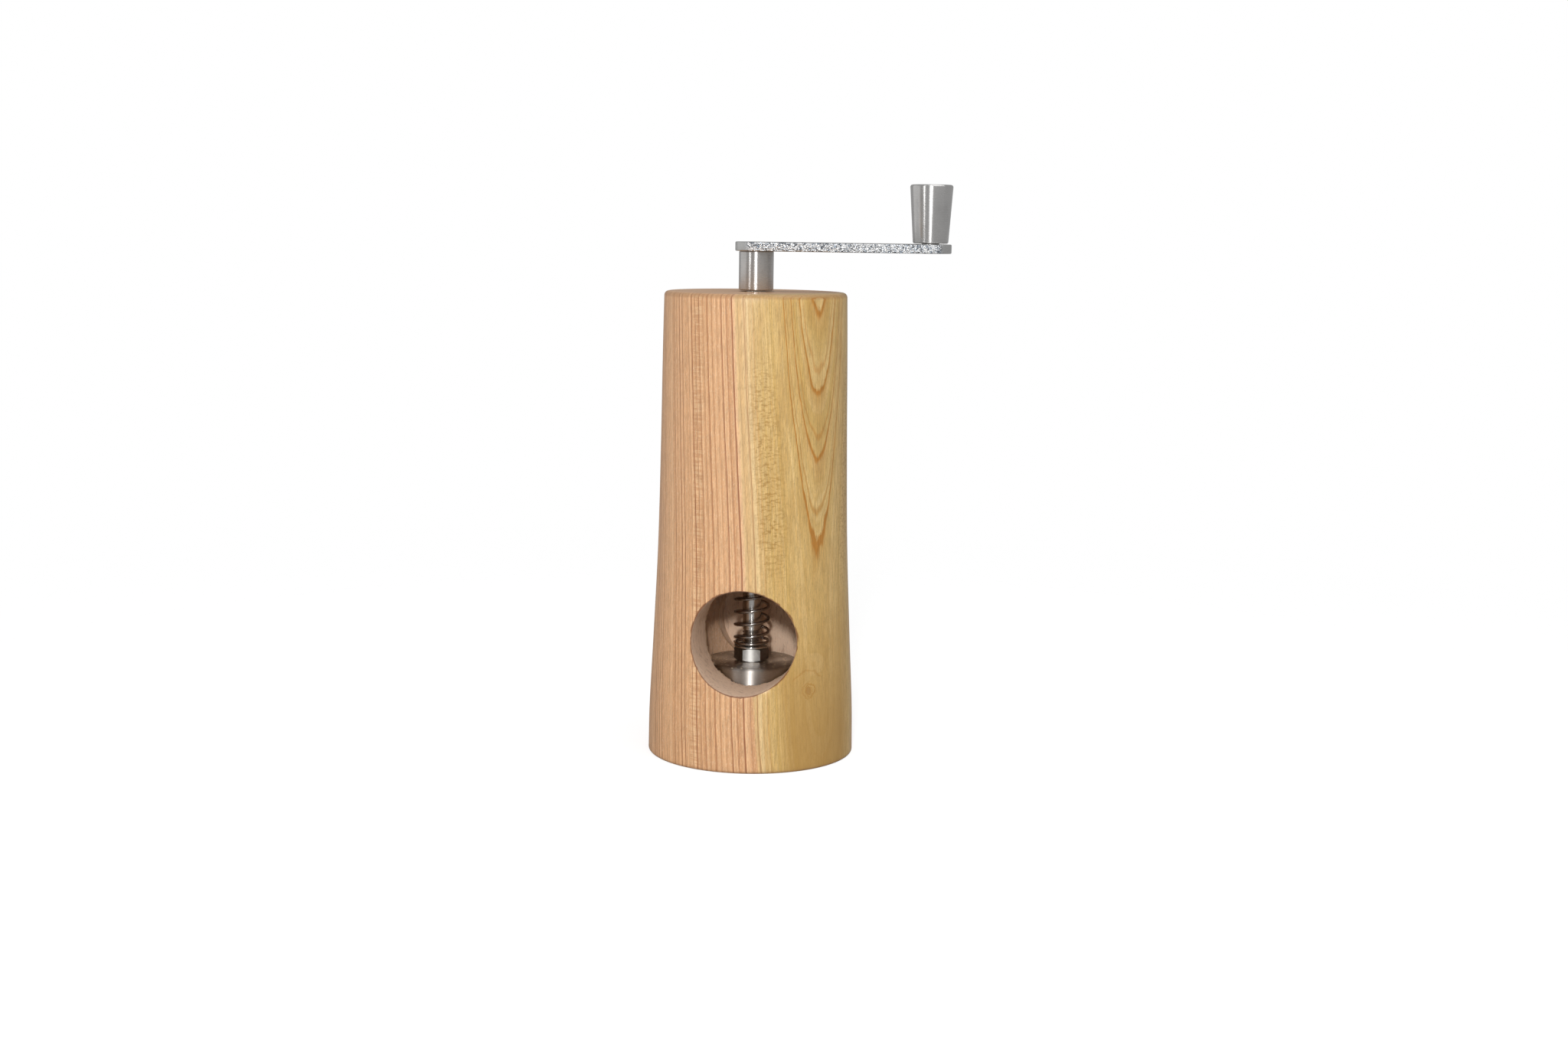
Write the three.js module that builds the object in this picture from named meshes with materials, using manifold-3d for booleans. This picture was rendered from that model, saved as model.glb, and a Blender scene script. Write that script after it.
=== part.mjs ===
// Hand-cranked nutmeg mill: a turned wooden body with a round filling window, and a
// spring-loaded steel presser that is lifted and turned by the crank on top.
// Everything is built about the mill's own upright axis, with the base at height 0.
// Millimetres, +Z up. The crank arm points to +X and the window looks to -Y.

import * as THREE from 'three';
import { mergeVertices } from 'three/addons/utils/BufferGeometryUtils.js';
import Module from 'manifold-3d';

// ---------------------------------------------------------------- driving dimensions

// Wooden body: [radius, height] of the turned side, foot to shoulder.
const BODY_HEIGHT = 121.5;
const BASE_RADIUS = 27.2;
const BASE_EDGE = 0.5;
const TOP_EDGE = 1.2;
const BODY_SIDE = [
  [BASE_RADIUS, BASE_EDGE],
  [27.0, 12],
  [26.1, 30],
  [24.98, 55],
  [24.42, 80],
  [24.0, 108],
  [23.75, BODY_HEIGHT - TOP_EDGE],
];

// Grater plate in the recess of the base, held by three wood screws.
const RECESS_RADIUS = 20.3;
const RECESS_DEPTH = 3.25;
const PLATE_RADIUS = 20;
const PLATE_BOTTOM = 2.2;
const PLATE_THICKNESS = 1;
const PLATE_SCREW_COUNT = 3;
const PLATE_SCREW_CIRCLE = 16.7;
const PLATE_SCREW_LENGTH = 10;
const PLATE_SCREW_RADIUS = 1.1;
const PLATE_SCREW_HEAD_RADIUS = 2.4;
const PLATE_SCREW_HEAD_HEIGHT = 1.3;
const CUTTER_COUNT = 6;
const CUTTER_START = 3.2;
const CUTTER_END = 11.6;
const CUTTER_SLOT_WIDTH = 1.5;
const CUTTER_LIP_HEIGHT = 0.85;

// Presser: a disc on the end of the shaft, with four pins that hold the nutmeg.
const PRESSER_RADIUS = 12.45;
const PRESSER_TOP = 24;
const PRESSER_THICKNESS = 10;
const PIN_COUNT = 4;
const PIN_CIRCLE = 7.5;
const PIN_RADIUS = 1.2;
const PIN_TIP_HEIGHT = 5.3;
const PIN_DEPTH = 6;
const LIFT = 36;

// Bores up the middle of the body, and the filling window across them.
const CHAMBER_RADIUS = 12.9;
const SPRING_BORE_RADIUS = 5.6;
const SPRING_BORE_TOP = 104;
const WINDOW_RADIUS = 13.4;
const WINDOW_HEIGHT = 33.4;
const WINDOW_TURN = THREE.MathUtils.degToRad(-12);
const WINDOW_OFFSET = 2.64;
const WINDOW_FAR_DEPTH = 13.5;

// Shaft, its bush, and the nut, washer and spring that press it down.
const SHAFT_RADIUS = 2.45;
const BUSH_RADIUS = 4;
const BUSH_FLANGE_RADIUS = 5.3;
const BUSH_FLANGE_THICKNESS = 1.5;
const NUT_ACROSS_FLATS = 8;
const NUT_HEIGHT = 3.65;
const WASHER_RADIUS = 4.8;
const WASHER_THICKNESS = 0.4;
const SPRING_RADIUS = 4.45;
const SPRING_WIRE_RADIUS = 0.4;
const SPRING_PITCH = 3.38;

// Crank: a round hub, a flat arm with round ends, and a tapered knob.
const HUB_RADIUS = 4.5;
const HUB_BOTTOM = BODY_HEIGHT + 0.3;
const HUB_HEIGHT = 10.05;
const ARM_REACH = 45;
const ARM_WIDTH = 11;
const ARM_THICKNESS = 2.4;
const CRANK_SCREW_RADIUS = 1.45;
const CRANK_SCREW_HEAD_RADIUS = 3;
const CRANK_SCREW_LENGTH = 10;
const KNOB_HEIGHT = 15;
const KNOB_BOTTOM_RADIUS = 4.6;
const KNOB_TOP_RADIUS = 5.55;
const KNOB_EDGE = 0.6;
const KNOB_COUNTERBORE_RADIUS = 4;
const KNOB_COUNTERBORE_DEPTH = 3.2;
const KNOB_SCREW_SHOULDER_RADIUS = 2.3;
const KNOB_SCREW_THREAD_RADIUS = 1.95;
const KNOB_SCREW_HEAD_RADIUS = 3.6;
const KNOB_SCREW_HEAD_HEIGHT = 2.1;

// Clearances: between faces that touch, between fixed pieces, and round turning ones.
const SEAT_GAP = 0.05;
const FIXED_GAP = 0.05;
const RUNNING_GAP = 0.08;
const KNOB_GAP = 0.2;

// Places that follow from the sizes above.
const PRESSER_BOTTOM = PRESSER_TOP - PRESSER_THICKNESS;
const CHAMBER_CEILING = PRESSER_TOP + LIFT + KNOB_GAP;
const WASHER_BOTTOM = PRESSER_TOP + NUT_HEIGHT + SEAT_GAP;
const SPRING_BOTTOM = WASHER_BOTTOM + WASHER_THICKNESS + SEAT_GAP;
const SPRING_TOP = SPRING_BORE_TOP - BUSH_FLANGE_THICKNESS - SEAT_GAP;
const ARM_BOTTOM = HUB_BOTTOM + HUB_HEIGHT + SEAT_GAP;
const ARM_TOP = ARM_BOTTOM + ARM_THICKNESS;
const SHAFT_TOP = ARM_BOTTOM - SEAT_GAP;
const KNOB_BOTTOM = ARM_TOP + KNOB_GAP;
const KNOB_TOP = KNOB_BOTTOM + KNOB_HEIGHT;

// The origin lies under the middle of the whole mill's box, so the axis stands beside it.
const MILL_AXIS_X = -(ARM_REACH + ARM_WIDTH / 2 - BASE_RADIUS) / 2;

const BODY_SEGMENTS = 72;
const BORE_SEGMENTS = 48;
const SMALL_SEGMENTS = 32;

// ------------------------------------------------------------------------- materials

const wood = new THREE.MeshStandardMaterial({ color: 0xd2a978, roughness: 0.5, metalness: 0 });
const polishedSteel = new THREE.MeshStandardMaterial({ color: 0xb9b7b4, roughness: 0.15, metalness: 1 });
const turnedSteel = new THREE.MeshStandardMaterial({ color: 0x9c9a96, roughness: 0.3, metalness: 1 });
const blastedSteel = new THREE.MeshStandardMaterial({ color: 0xa9aaa9, roughness: 0.6, metalness: 1 });
const springSteel = new THREE.MeshStandardMaterial({ color: 0x8f8b86, roughness: 0.25, metalness: 1 });
const brass = new THREE.MeshStandardMaterial({ color: 0xb5924c, roughness: 0.35, metalness: 1 });

// ------------------------------------------------------------------- shape functions

const wasm = await Module();
wasm.setup();

// A closed three.js geometry as a solid that can be joined and cut.
function solidOf(geometry) {
  const bare = geometry.clone();
  bare.deleteAttribute('normal');
  bare.deleteAttribute('uv');
  const welded = mergeVertices(bare, 1e-4);
  return new wasm.Manifold(new wasm.Mesh({
    numProp: 3,
    vertProperties: new Float32Array(welded.attributes.position.array),
    triVerts: new Uint32Array(welded.index.array),
  }));
}

function geometryOf(solid) {
  const mesh = solid.getMesh();
  const geometry = new THREE.BufferGeometry();
  geometry.setAttribute('position', new THREE.BufferAttribute(mesh.vertProperties, 3));
  geometry.setIndex(new THREE.BufferAttribute(mesh.triVerts, 1));
  geometry.computeVertexNormals();
  return geometry;
}

function cut(geometry, cutters) {
  const solid = cutters.reduce((rest, cutter) => rest.subtract(solidOf(cutter)), solidOf(geometry));
  return geometryOf(solid);
}

function join(geometries) {
  return geometryOf(geometries.map(solidOf).reduce((whole, next) => whole.add(next)));
}

// A turned shape about +Z from [radius, height] points. The profile closes on the axis.
function turned(profile, segments) {
  const points = profile.map(([radius, height]) => new THREE.Vector2(radius, height));
  return new THREE.LatheGeometry(points, segments).rotateX(Math.PI / 2);
}

function cylinder(radius, bottom, top, segments) {
  return turned([[0, bottom], [radius, bottom], [radius, top], [0, top]], segments);
}

// A quarter round between two faces, as [radius, height] points from startAngle.
function quarterRound(centreRadius, centreHeight, size, startAngle, steps = 3) {
  return Array.from({ length: steps + 1 }, (_, i) => {
    const angle = startAngle + (i / steps) * (Math.PI / 2);
    return [centreRadius + size * Math.cos(angle), centreHeight + size * Math.sin(angle)];
  });
}

function hexagonPrism(acrossFlats, bottom, top) {
  const cornerRadius = acrossFlats / Math.sqrt(3);
  const outline = new THREE.Shape(Array.from({ length: 6 }, (_, i) => {
    const angle = (i * Math.PI) / 3;
    return new THREE.Vector2(cornerRadius * Math.cos(angle), cornerRadius * Math.sin(angle));
  }));
  const prism = new THREE.ExtrudeGeometry(outline, { depth: top - bottom, bevelEnabled: false });
  return prism.translate(0, 0, bottom);
}

function piece(name, geometry, material) {
  const mesh = new THREE.Mesh(geometry, material);
  mesh.name = name;
  return mesh;
}

// Copies of one geometry, evenly spaced round the axis, each its own named piece.
function ringOfPieces(name, count, firstAngle, geometry, material) {
  return Array.from({ length: count }, (_, i) => {
    const angle = firstAngle + (i / count) * 2 * Math.PI;
    return piece(`${name}_${i + 1}`, geometry.clone().rotateZ(angle), material);
  });
}

function ringOfCutters(count, firstAngle, cutter) {
  return Array.from({ length: count }, (_, i) => (
    cutter.clone().rotateZ(firstAngle + (i / count) * 2 * Math.PI)
  ));
}

// ----------------------------------------------------------------------- wooden body

const PLATE_SCREW_ANGLE = Math.PI / 2;
const PIN_ANGLE = Math.PI / 4;

function windowCutter() {
  const outside = BASE_RADIUS + 10;
  const length = outside + WINDOW_FAR_DEPTH;
  const cutter = new THREE.CylinderGeometry(WINDOW_RADIUS, WINDOW_RADIUS, length, 64);
  cutter.translate(WINDOW_OFFSET, (WINDOW_FAR_DEPTH - outside) / 2, WINDOW_HEIGHT);
  return cutter.rotateZ(WINDOW_TURN);
}

function woodenBody() {
  const side = new THREE.SplineCurve(BODY_SIDE.map(([radius, height]) => new THREE.Vector2(radius, height)));
  const shoulderRadius = BODY_SIDE.at(-1)[0];
  const profile = [
    [0, 0],
    ...quarterRound(BASE_RADIUS - BASE_EDGE, BASE_EDGE, BASE_EDGE, -Math.PI / 2, 2).slice(0, -1),
    ...side.getPoints(14).map((point) => [point.x, point.y]),
    ...quarterRound(shoulderRadius - TOP_EDGE, BODY_HEIGHT - TOP_EDGE, TOP_EDGE, 0).slice(1),
    [0, BODY_HEIGHT],
  ];
  const pilotHole = cylinder(PLATE_SCREW_RADIUS + FIXED_GAP, 0, PLATE_BOTTOM + PLATE_SCREW_LENGTH + 1, 16);
  pilotHole.translate(PLATE_SCREW_CIRCLE, 0, 0);
  return cut(turned(profile, BODY_SEGMENTS), [
    cylinder(RECESS_RADIUS, -1, RECESS_DEPTH, BODY_SEGMENTS),
    cylinder(CHAMBER_RADIUS, -1, CHAMBER_CEILING, BORE_SEGMENTS),
    cylinder(SPRING_BORE_RADIUS, 0, SPRING_BORE_TOP, BORE_SEGMENTS),
    cylinder(BUSH_RADIUS + FIXED_GAP, 0, BODY_HEIGHT + 1, BORE_SEGMENTS),
    windowCutter(),
    ...ringOfCutters(PLATE_SCREW_COUNT, PLATE_SCREW_ANGLE, pilotHole),
  ]);
}

// A flanged sleeve pushed up into the body: the shaft runs in it, the spring pushes on its flange.
function topBush() {
  const flangeBottom = SPRING_BORE_TOP - BUSH_FLANGE_THICKNESS;
  const flangeTop = SPRING_BORE_TOP - SEAT_GAP;
  const sleeveTop = BODY_HEIGHT - 0.2;
  return turned([
    [SHAFT_RADIUS + RUNNING_GAP, flangeBottom],
    [BUSH_FLANGE_RADIUS, flangeBottom],
    [BUSH_FLANGE_RADIUS, flangeTop],
    [BUSH_RADIUS, flangeTop],
    [BUSH_RADIUS, sleeveTop],
    [SHAFT_RADIUS + RUNNING_GAP, sleeveTop],
    [SHAFT_RADIUS + RUNNING_GAP, flangeBottom],
  ], BORE_SEGMENTS);
}

// ----------------------------------------------------------------------- grater plate

// Countersunk shape from the plate's underside up, used for the screws and their seats.
function countersunkProfile(gap) {
  const headTop = PLATE_BOTTOM - 0.3 + PLATE_SCREW_HEAD_HEIGHT;
  return {
    headBottom: PLATE_BOTTOM - 0.3,
    points: [
      [PLATE_SCREW_HEAD_RADIUS + gap, PLATE_BOTTOM - 0.3],
      [PLATE_SCREW_RADIUS + gap, headTop],
    ],
  };
}

function plateScrew() {
  const { headBottom, points } = countersunkProfile(0);
  const tipHeight = PLATE_BOTTOM + PLATE_SCREW_LENGTH;
  const screw = turned([
    [0, headBottom],
    ...points,
    [PLATE_SCREW_RADIUS, tipHeight - 2.5],
    [0, tipHeight],
  ], 24);
  const slotWidth = 0.6;
  const slot = new THREE.BoxGeometry(2.4, slotWidth, 0.6).translate(0, 0, headBottom + 0.2);
  const crossSlot = slot.clone().rotateZ(Math.PI / 2);
  return cut(screw, [slot, crossSlot]).translate(PLATE_SCREW_CIRCLE, 0, 0);
}

// One cutter: a radial slot with a raised lip whose edge faces the oncoming nutmeg.
function cutterSlot() {
  const length = CUTTER_END - CUTTER_START;
  const slot = new THREE.BoxGeometry(length, CUTTER_SLOT_WIDTH, 3 * PLATE_THICKNESS);
  return slot.translate(CUTTER_START + length / 2, 0, PLATE_BOTTOM);
}

function cutterLip() {
  const slotEdge = -CUTTER_SLOT_WIDTH / 2;
  const section = new THREE.Shape([
    new THREE.Vector2(slotEdge - 1.8, -0.1),
    new THREE.Vector2(slotEdge - 0.05, -0.1),
    new THREE.Vector2(slotEdge + 0.45, CUTTER_LIP_HEIGHT),
  ]);
  const lip = new THREE.ExtrudeGeometry(section, { depth: CUTTER_END - CUTTER_START, bevelEnabled: false });
  // The section's x and y become the plate's y and z, and its depth runs outwards.
  lip.applyMatrix4(new THREE.Matrix4().makeBasis(
    new THREE.Vector3(0, 1, 0),
    new THREE.Vector3(0, 0, 1),
    new THREE.Vector3(1, 0, 0),
  ));
  return lip.translate(CUTTER_START, 0, PLATE_BOTTOM + PLATE_THICKNESS);
}

function graterPlate() {
  const plate = cylinder(PLATE_RADIUS, PLATE_BOTTOM, PLATE_BOTTOM + PLATE_THICKNESS, BODY_SEGMENTS);
  const { headBottom, points } = countersunkProfile(FIXED_GAP);
  const seat = turned([
    [0, headBottom],
    ...points,
    [PLATE_SCREW_RADIUS + FIXED_GAP, PLATE_BOTTOM + PLATE_THICKNESS + 1],
    [0, PLATE_BOTTOM + PLATE_THICKNESS + 1],
  ], 24).translate(PLATE_SCREW_CIRCLE, 0, 0);
  const slotted = cut(plate, [
    ...ringOfCutters(CUTTER_COUNT, 0, cutterSlot()),
    ...ringOfCutters(PLATE_SCREW_COUNT, PLATE_SCREW_ANGLE, seat),
  ]);
  return join([slotted, ...ringOfCutters(CUTTER_COUNT, 0, cutterLip())]);
}

// ------------------------------------------------------------- shaft, presser, spring

// Turned rod, screwed into the presser below and tapped for the crank screw above.
function shaft() {
  const chamfer = 0.4;
  const bottom = PRESSER_BOTTOM + 0.3;
  const tappedRadius = CRANK_SCREW_RADIUS + FIXED_GAP;
  const tappedBottom = ARM_TOP - CRANK_SCREW_LENGTH - 0.5;
  return turned([
    [0, bottom],
    [SHAFT_RADIUS - chamfer, bottom],
    [SHAFT_RADIUS, bottom + chamfer],
    [SHAFT_RADIUS, SHAFT_TOP],
    [tappedRadius, SHAFT_TOP],
    [tappedRadius, tappedBottom],
    [0, tappedBottom],
  ], BORE_SEGMENTS);
}

function presserDisc() {
  const topChamfer = 0.5;
  const bottomChamfer = 0.3;
  const holeRadius = SHAFT_RADIUS + FIXED_GAP;
  const disc = turned([
    [holeRadius, PRESSER_BOTTOM],
    [PRESSER_RADIUS - bottomChamfer, PRESSER_BOTTOM],
    [PRESSER_RADIUS, PRESSER_BOTTOM + bottomChamfer],
    [PRESSER_RADIUS, PRESSER_TOP - topChamfer],
    [PRESSER_RADIUS - topChamfer, PRESSER_TOP],
    [holeRadius, PRESSER_TOP],
    [holeRadius, PRESSER_BOTTOM],
  ], BORE_SEGMENTS);
  const pinHole = cylinder(PIN_RADIUS + FIXED_GAP, 0, PRESSER_BOTTOM + PIN_DEPTH + FIXED_GAP, 20);
  pinHole.translate(PIN_CIRCLE, 0, 0);
  return cut(disc, ringOfCutters(PIN_COUNT, PIN_ANGLE, pinHole));
}

function gripPin() {
  const taperLength = 3;
  return turned([
    [0, PIN_TIP_HEIGHT],
    [PIN_RADIUS, PIN_TIP_HEIGHT + taperLength],
    [PIN_RADIUS, PRESSER_BOTTOM + PIN_DEPTH],
    [0, PRESSER_BOTTOM + PIN_DEPTH],
  ], 20).translate(PIN_CIRCLE, 0, 0);
}

// A hexagon with one flat to -Y, its corners turned off at both ends.
function hexNut() {
  const bottom = PRESSER_TOP + SEAT_GAP / 2;
  const top = bottom + NUT_HEIGHT - SEAT_GAP / 2;
  const cornerRadius = NUT_ACROSS_FLATS / Math.sqrt(3);
  const faceRadius = NUT_ACROSS_FLATS / 2 - 0.2;
  const chamfer = 0.45;
  const envelope = turned([
    [0, bottom],
    [faceRadius, bottom],
    [cornerRadius, bottom + chamfer],
    [cornerRadius, top - chamfer],
    [faceRadius, top],
    [0, top],
  ], SMALL_SEGMENTS);
  const blank = solidOf(hexagonPrism(NUT_ACROSS_FLATS, bottom, top)).intersect(solidOf(envelope));
  const hole = solidOf(cylinder(SHAFT_RADIUS + FIXED_GAP, bottom - 1, top + 1, SMALL_SEGMENTS));
  return geometryOf(blank.subtract(hole));
}

function springWasher() {
  const holeRadius = SHAFT_RADIUS + 0.2;
  return turned([
    [holeRadius, WASHER_BOTTOM],
    [WASHER_RADIUS, WASHER_BOTTOM],
    [WASHER_RADIUS, WASHER_BOTTOM + WASHER_THICKNESS],
    [holeRadius, WASHER_BOTTOM + WASHER_THICKNESS],
    [holeRadius, WASHER_BOTTOM],
  ], SMALL_SEGMENTS);
}

// Right-handed coil with one closed turn at each end and an even pitch between.
class SpringCurve extends THREE.Curve {
  constructor() {
    super();
    this.wire = 2 * SPRING_WIRE_RADIUS + SEAT_GAP;
    this.rise = SPRING_TOP - SPRING_BOTTOM - 2 * SPRING_WIRE_RADIUS;
    this.openTurns = Math.round((this.rise - 2 * this.wire) / SPRING_PITCH);
    this.turns = this.openTurns + 2;
    this.arcLengthDivisions = 60 * this.turns;
  }

  getPoint(t, target = new THREE.Vector3()) {
    const turn = t * this.turns;
    const open = THREE.MathUtils.clamp((turn - 1) / this.openTurns, 0, 1);
    const closed = Math.min(turn, 1) + Math.max(turn - this.turns + 1, 0);
    const height = closed * this.wire + open * (this.rise - 2 * this.wire);
    const angle = 2 * Math.PI * turn;
    return target.set(
      SPRING_RADIUS * Math.cos(angle),
      SPRING_RADIUS * Math.sin(angle),
      SPRING_BOTTOM + SPRING_WIRE_RADIUS + height,
    );
  }
}

function spring() {
  const sides = 6;
  const stepsPerTurn = 12;
  const path = new SpringCurve();
  const section = new THREE.Shape(Array.from({ length: sides }, (_, i) => {
    const angle = ((i + 0.5) / sides) * 2 * Math.PI;
    return new THREE.Vector2(SPRING_WIRE_RADIUS * Math.cos(angle), SPRING_WIRE_RADIUS * Math.sin(angle));
  }));
  return new THREE.ExtrudeGeometry(section, { steps: stepsPerTurn * path.turns, extrudePath: path });
}

// ------------------------------------------------------------------------------ crank

function crankHub() {
  const chamfer = 0.3;
  const top = HUB_BOTTOM + HUB_HEIGHT;
  const holeRadius = SHAFT_RADIUS + FIXED_GAP;
  return turned([
    [holeRadius, HUB_BOTTOM],
    [HUB_RADIUS - chamfer, HUB_BOTTOM],
    [HUB_RADIUS, HUB_BOTTOM + chamfer],
    [HUB_RADIUS, top],
    [holeRadius, top],
    [holeRadius, HUB_BOTTOM],
  ], BORE_SEGMENTS);
}

// Flat bar with round ends, countersunk over the hub and drilled for the knob's screw.
function crankArm() {
  const bevel = 0.25;
  const endRadius = ARM_WIDTH / 2;
  const outline = new THREE.Shape();
  outline.absarc(ARM_REACH, 0, endRadius, -Math.PI / 2, Math.PI / 2);
  outline.absarc(0, 0, endRadius, Math.PI / 2, (3 * Math.PI) / 2);
  const bar = new THREE.ExtrudeGeometry(outline, {
    depth: ARM_THICKNESS - 2 * bevel,
    curveSegments: 20,
    bevelSize: bevel,
    bevelOffset: -bevel,
    bevelThickness: bevel,
    bevelSegments: 1,
  }).translate(0, 0, ARM_BOTTOM + bevel);
  const knobHole = cylinder(KNOB_SCREW_THREAD_RADIUS + FIXED_GAP, ARM_BOTTOM - 1, ARM_TOP + 1, SMALL_SEGMENTS);
  knobHole.translate(ARM_REACH, 0, 0);
  return cut(bar, [turned(crankScrewProfile(FIXED_GAP, 1), SMALL_SEGMENTS), knobHole]);
}

// Countersunk screw from its end up to its flush head. The seat is the same shape with a gap.
function crankScrewProfile(gap, above) {
  const headDepth = CRANK_SCREW_HEAD_RADIUS - CRANK_SCREW_RADIUS;
  return [
    [0, ARM_TOP - CRANK_SCREW_LENGTH],
    [CRANK_SCREW_RADIUS + gap, ARM_TOP - CRANK_SCREW_LENGTH],
    [CRANK_SCREW_RADIUS + gap, ARM_TOP - headDepth],
    [CRANK_SCREW_HEAD_RADIUS + gap, ARM_TOP],
    ...(above ? [[CRANK_SCREW_HEAD_RADIUS + gap, ARM_TOP + above]] : []),
    [0, ARM_TOP + above],
  ];
}

function crankScrew() {
  const socket = hexagonPrism(2, ARM_TOP - 1.1, ARM_TOP + 1);
  return cut(turned(crankScrewProfile(0, 0), SMALL_SEGMENTS), [socket]);
}

// Shoulder screw through the knob into the arm: its shoulder is the knob's axle.
function knobScrew() {
  const edge = 0.3;
  const threadBottom = ARM_BOTTOM + SEAT_GAP;
  const headBottom = KNOB_TOP - KNOB_COUNTERBORE_DEPTH + 0.15;
  const headTop = headBottom + KNOB_SCREW_HEAD_HEIGHT;
  const screw = turned([
    [0, threadBottom],
    [KNOB_SCREW_THREAD_RADIUS, threadBottom],
    [KNOB_SCREW_THREAD_RADIUS, ARM_TOP + SEAT_GAP],
    [KNOB_SCREW_SHOULDER_RADIUS, ARM_TOP + SEAT_GAP],
    [KNOB_SCREW_SHOULDER_RADIUS, headBottom],
    [KNOB_SCREW_HEAD_RADIUS, headBottom],
    [KNOB_SCREW_HEAD_RADIUS, headTop - edge],
    [KNOB_SCREW_HEAD_RADIUS - edge, headTop],
    [0, headTop],
  ], SMALL_SEGMENTS);
  return cut(screw, [hexagonPrism(3, headTop - 1.5, headTop + 1)]).translate(ARM_REACH, 0, 0);
}

function knob() {
  const holeRadius = KNOB_SCREW_SHOULDER_RADIUS + RUNNING_GAP;
  const counterboreFloor = KNOB_TOP - KNOB_COUNTERBORE_DEPTH;
  const bottomChamfer = 0.25;
  return turned([
    [holeRadius, KNOB_BOTTOM],
    [KNOB_BOTTOM_RADIUS - bottomChamfer, KNOB_BOTTOM],
    [KNOB_BOTTOM_RADIUS, KNOB_BOTTOM + bottomChamfer],
    ...quarterRound(KNOB_TOP_RADIUS - KNOB_EDGE, KNOB_TOP - KNOB_EDGE, KNOB_EDGE, 0),
    [KNOB_COUNTERBORE_RADIUS, KNOB_TOP],
    [KNOB_COUNTERBORE_RADIUS, counterboreFloor],
    [holeRadius, counterboreFloor],
    [holeRadius, KNOB_BOTTOM],
  ], BORE_SEGMENTS).translate(ARM_REACH, 0, 0);
}

// --------------------------------------------------------------------------- assembly

const body = new THREE.Group();
body.add(
  piece('wooden_body', woodenBody(), wood),
  piece('top_bush', topBush(), brass),
  piece('grater_plate', graterPlate(), polishedSteel),
  ...ringOfPieces('plate_screw', PLATE_SCREW_COUNT, PLATE_SCREW_ANGLE, plateScrew(), turnedSteel),
);

const presser = new THREE.Group();
presser.add(
  piece('shaft', shaft(), polishedSteel),
  piece('presser_disc', presserDisc(), polishedSteel),
  ...ringOfPieces('grip_pin', PIN_COUNT, PIN_ANGLE, gripPin(), turnedSteel),
  piece('hex_nut', hexNut(), turnedSteel),
  piece('spring_washer', springWasher(), turnedSteel),
  piece('spring', spring(), springSteel),
);

const crank = new THREE.Group();
crank.add(
  piece('crank_hub', crankHub(), turnedSteel),
  piece('crank_arm', crankArm(), blastedSteel),
  piece('crank_screw', crankScrew(), turnedSteel),
  piece('knob_screw', knobScrew(), turnedSteel),
  piece('knob', knob(), turnedSteel),
);

const mill = new THREE.Group();
mill.add(body, presser, crank);
mill.position.x = MILL_AXIS_X;

export default mill;
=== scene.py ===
# Hand-cranked nutmeg mill: a turned wooden body with a round filling window, a spring-loaded steel
# presser inside it, and a steel crank on top. Shapes are drawn in millimetres from the mill's own
# upright axis, then scaled to metres and put on that axis.

from math import atan2, cos, hypot, pi, radians, sin, sqrt, tau

import bmesh
import bpy
from mathutils import Matrix, Vector, noise


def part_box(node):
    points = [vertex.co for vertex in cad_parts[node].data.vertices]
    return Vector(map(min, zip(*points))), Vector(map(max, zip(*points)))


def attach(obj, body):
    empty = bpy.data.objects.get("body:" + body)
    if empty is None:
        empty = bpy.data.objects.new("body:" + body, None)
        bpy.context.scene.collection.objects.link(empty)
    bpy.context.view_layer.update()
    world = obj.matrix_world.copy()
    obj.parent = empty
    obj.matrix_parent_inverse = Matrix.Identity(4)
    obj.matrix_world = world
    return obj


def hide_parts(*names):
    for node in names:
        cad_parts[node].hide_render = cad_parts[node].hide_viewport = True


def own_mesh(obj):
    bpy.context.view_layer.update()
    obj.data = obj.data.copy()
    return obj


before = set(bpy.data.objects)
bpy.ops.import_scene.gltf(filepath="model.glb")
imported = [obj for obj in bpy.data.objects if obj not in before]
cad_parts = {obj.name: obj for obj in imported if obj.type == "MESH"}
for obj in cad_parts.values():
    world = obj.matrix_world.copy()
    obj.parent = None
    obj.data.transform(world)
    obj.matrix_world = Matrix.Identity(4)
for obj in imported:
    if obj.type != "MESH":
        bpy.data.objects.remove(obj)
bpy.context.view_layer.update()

# ---------------------------------------------------------------------------------------------
# Wooden body: one blank of two-toned wood, turned outside, bored through for the works and
# drilled across for the filling window. It is oiled to a satin sheen and left bare inside.

MM = 0.001
shaft_low, shaft_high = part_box("shaft")
MILL_AXIS = Vector(((shaft_low.x + shaft_high.x) / 2, (shaft_low.y + shaft_high.y) / 2, 0))


def span(node):
    """A node's lowest and highest corner in millimetres, from the foot of the mill's axis."""
    low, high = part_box(node)
    return (low - MILL_AXIS) / MM, (high - MILL_AXIS) / MM


def turned(profile, steps=160, closed=True):
    """A shape spun about the axis from (radius, height) points, closed on itself or on the axis."""
    bm = bmesh.new()
    points = [bm.verts.new((radius, 0, height)) for radius, height in profile]
    pairs = list(zip(points, points[1:]))
    if closed:
        pairs.append((points[-1], points[0]))
    edges = [bm.edges.new(pair) for pair in pairs]
    bmesh.ops.spin(bm, geom=points + edges, axis=(0, 0, 1), angle=tau, steps=steps, use_merge=True)
    bmesh.ops.remove_doubles(bm, verts=bm.verts, dist=0.001)
    bmesh.ops.dissolve_degenerate(bm, dist=0.0001, edges=bm.edges)
    bmesh.ops.recalc_face_normals(bm, faces=bm.faces)
    return bm


def swung(bm, turn):
    """The shape turned about the upright axis."""
    bmesh.ops.rotate(bm, verts=bm.verts, matrix=Matrix.Rotation(turn, 3, "Z"))
    return bm


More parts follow.
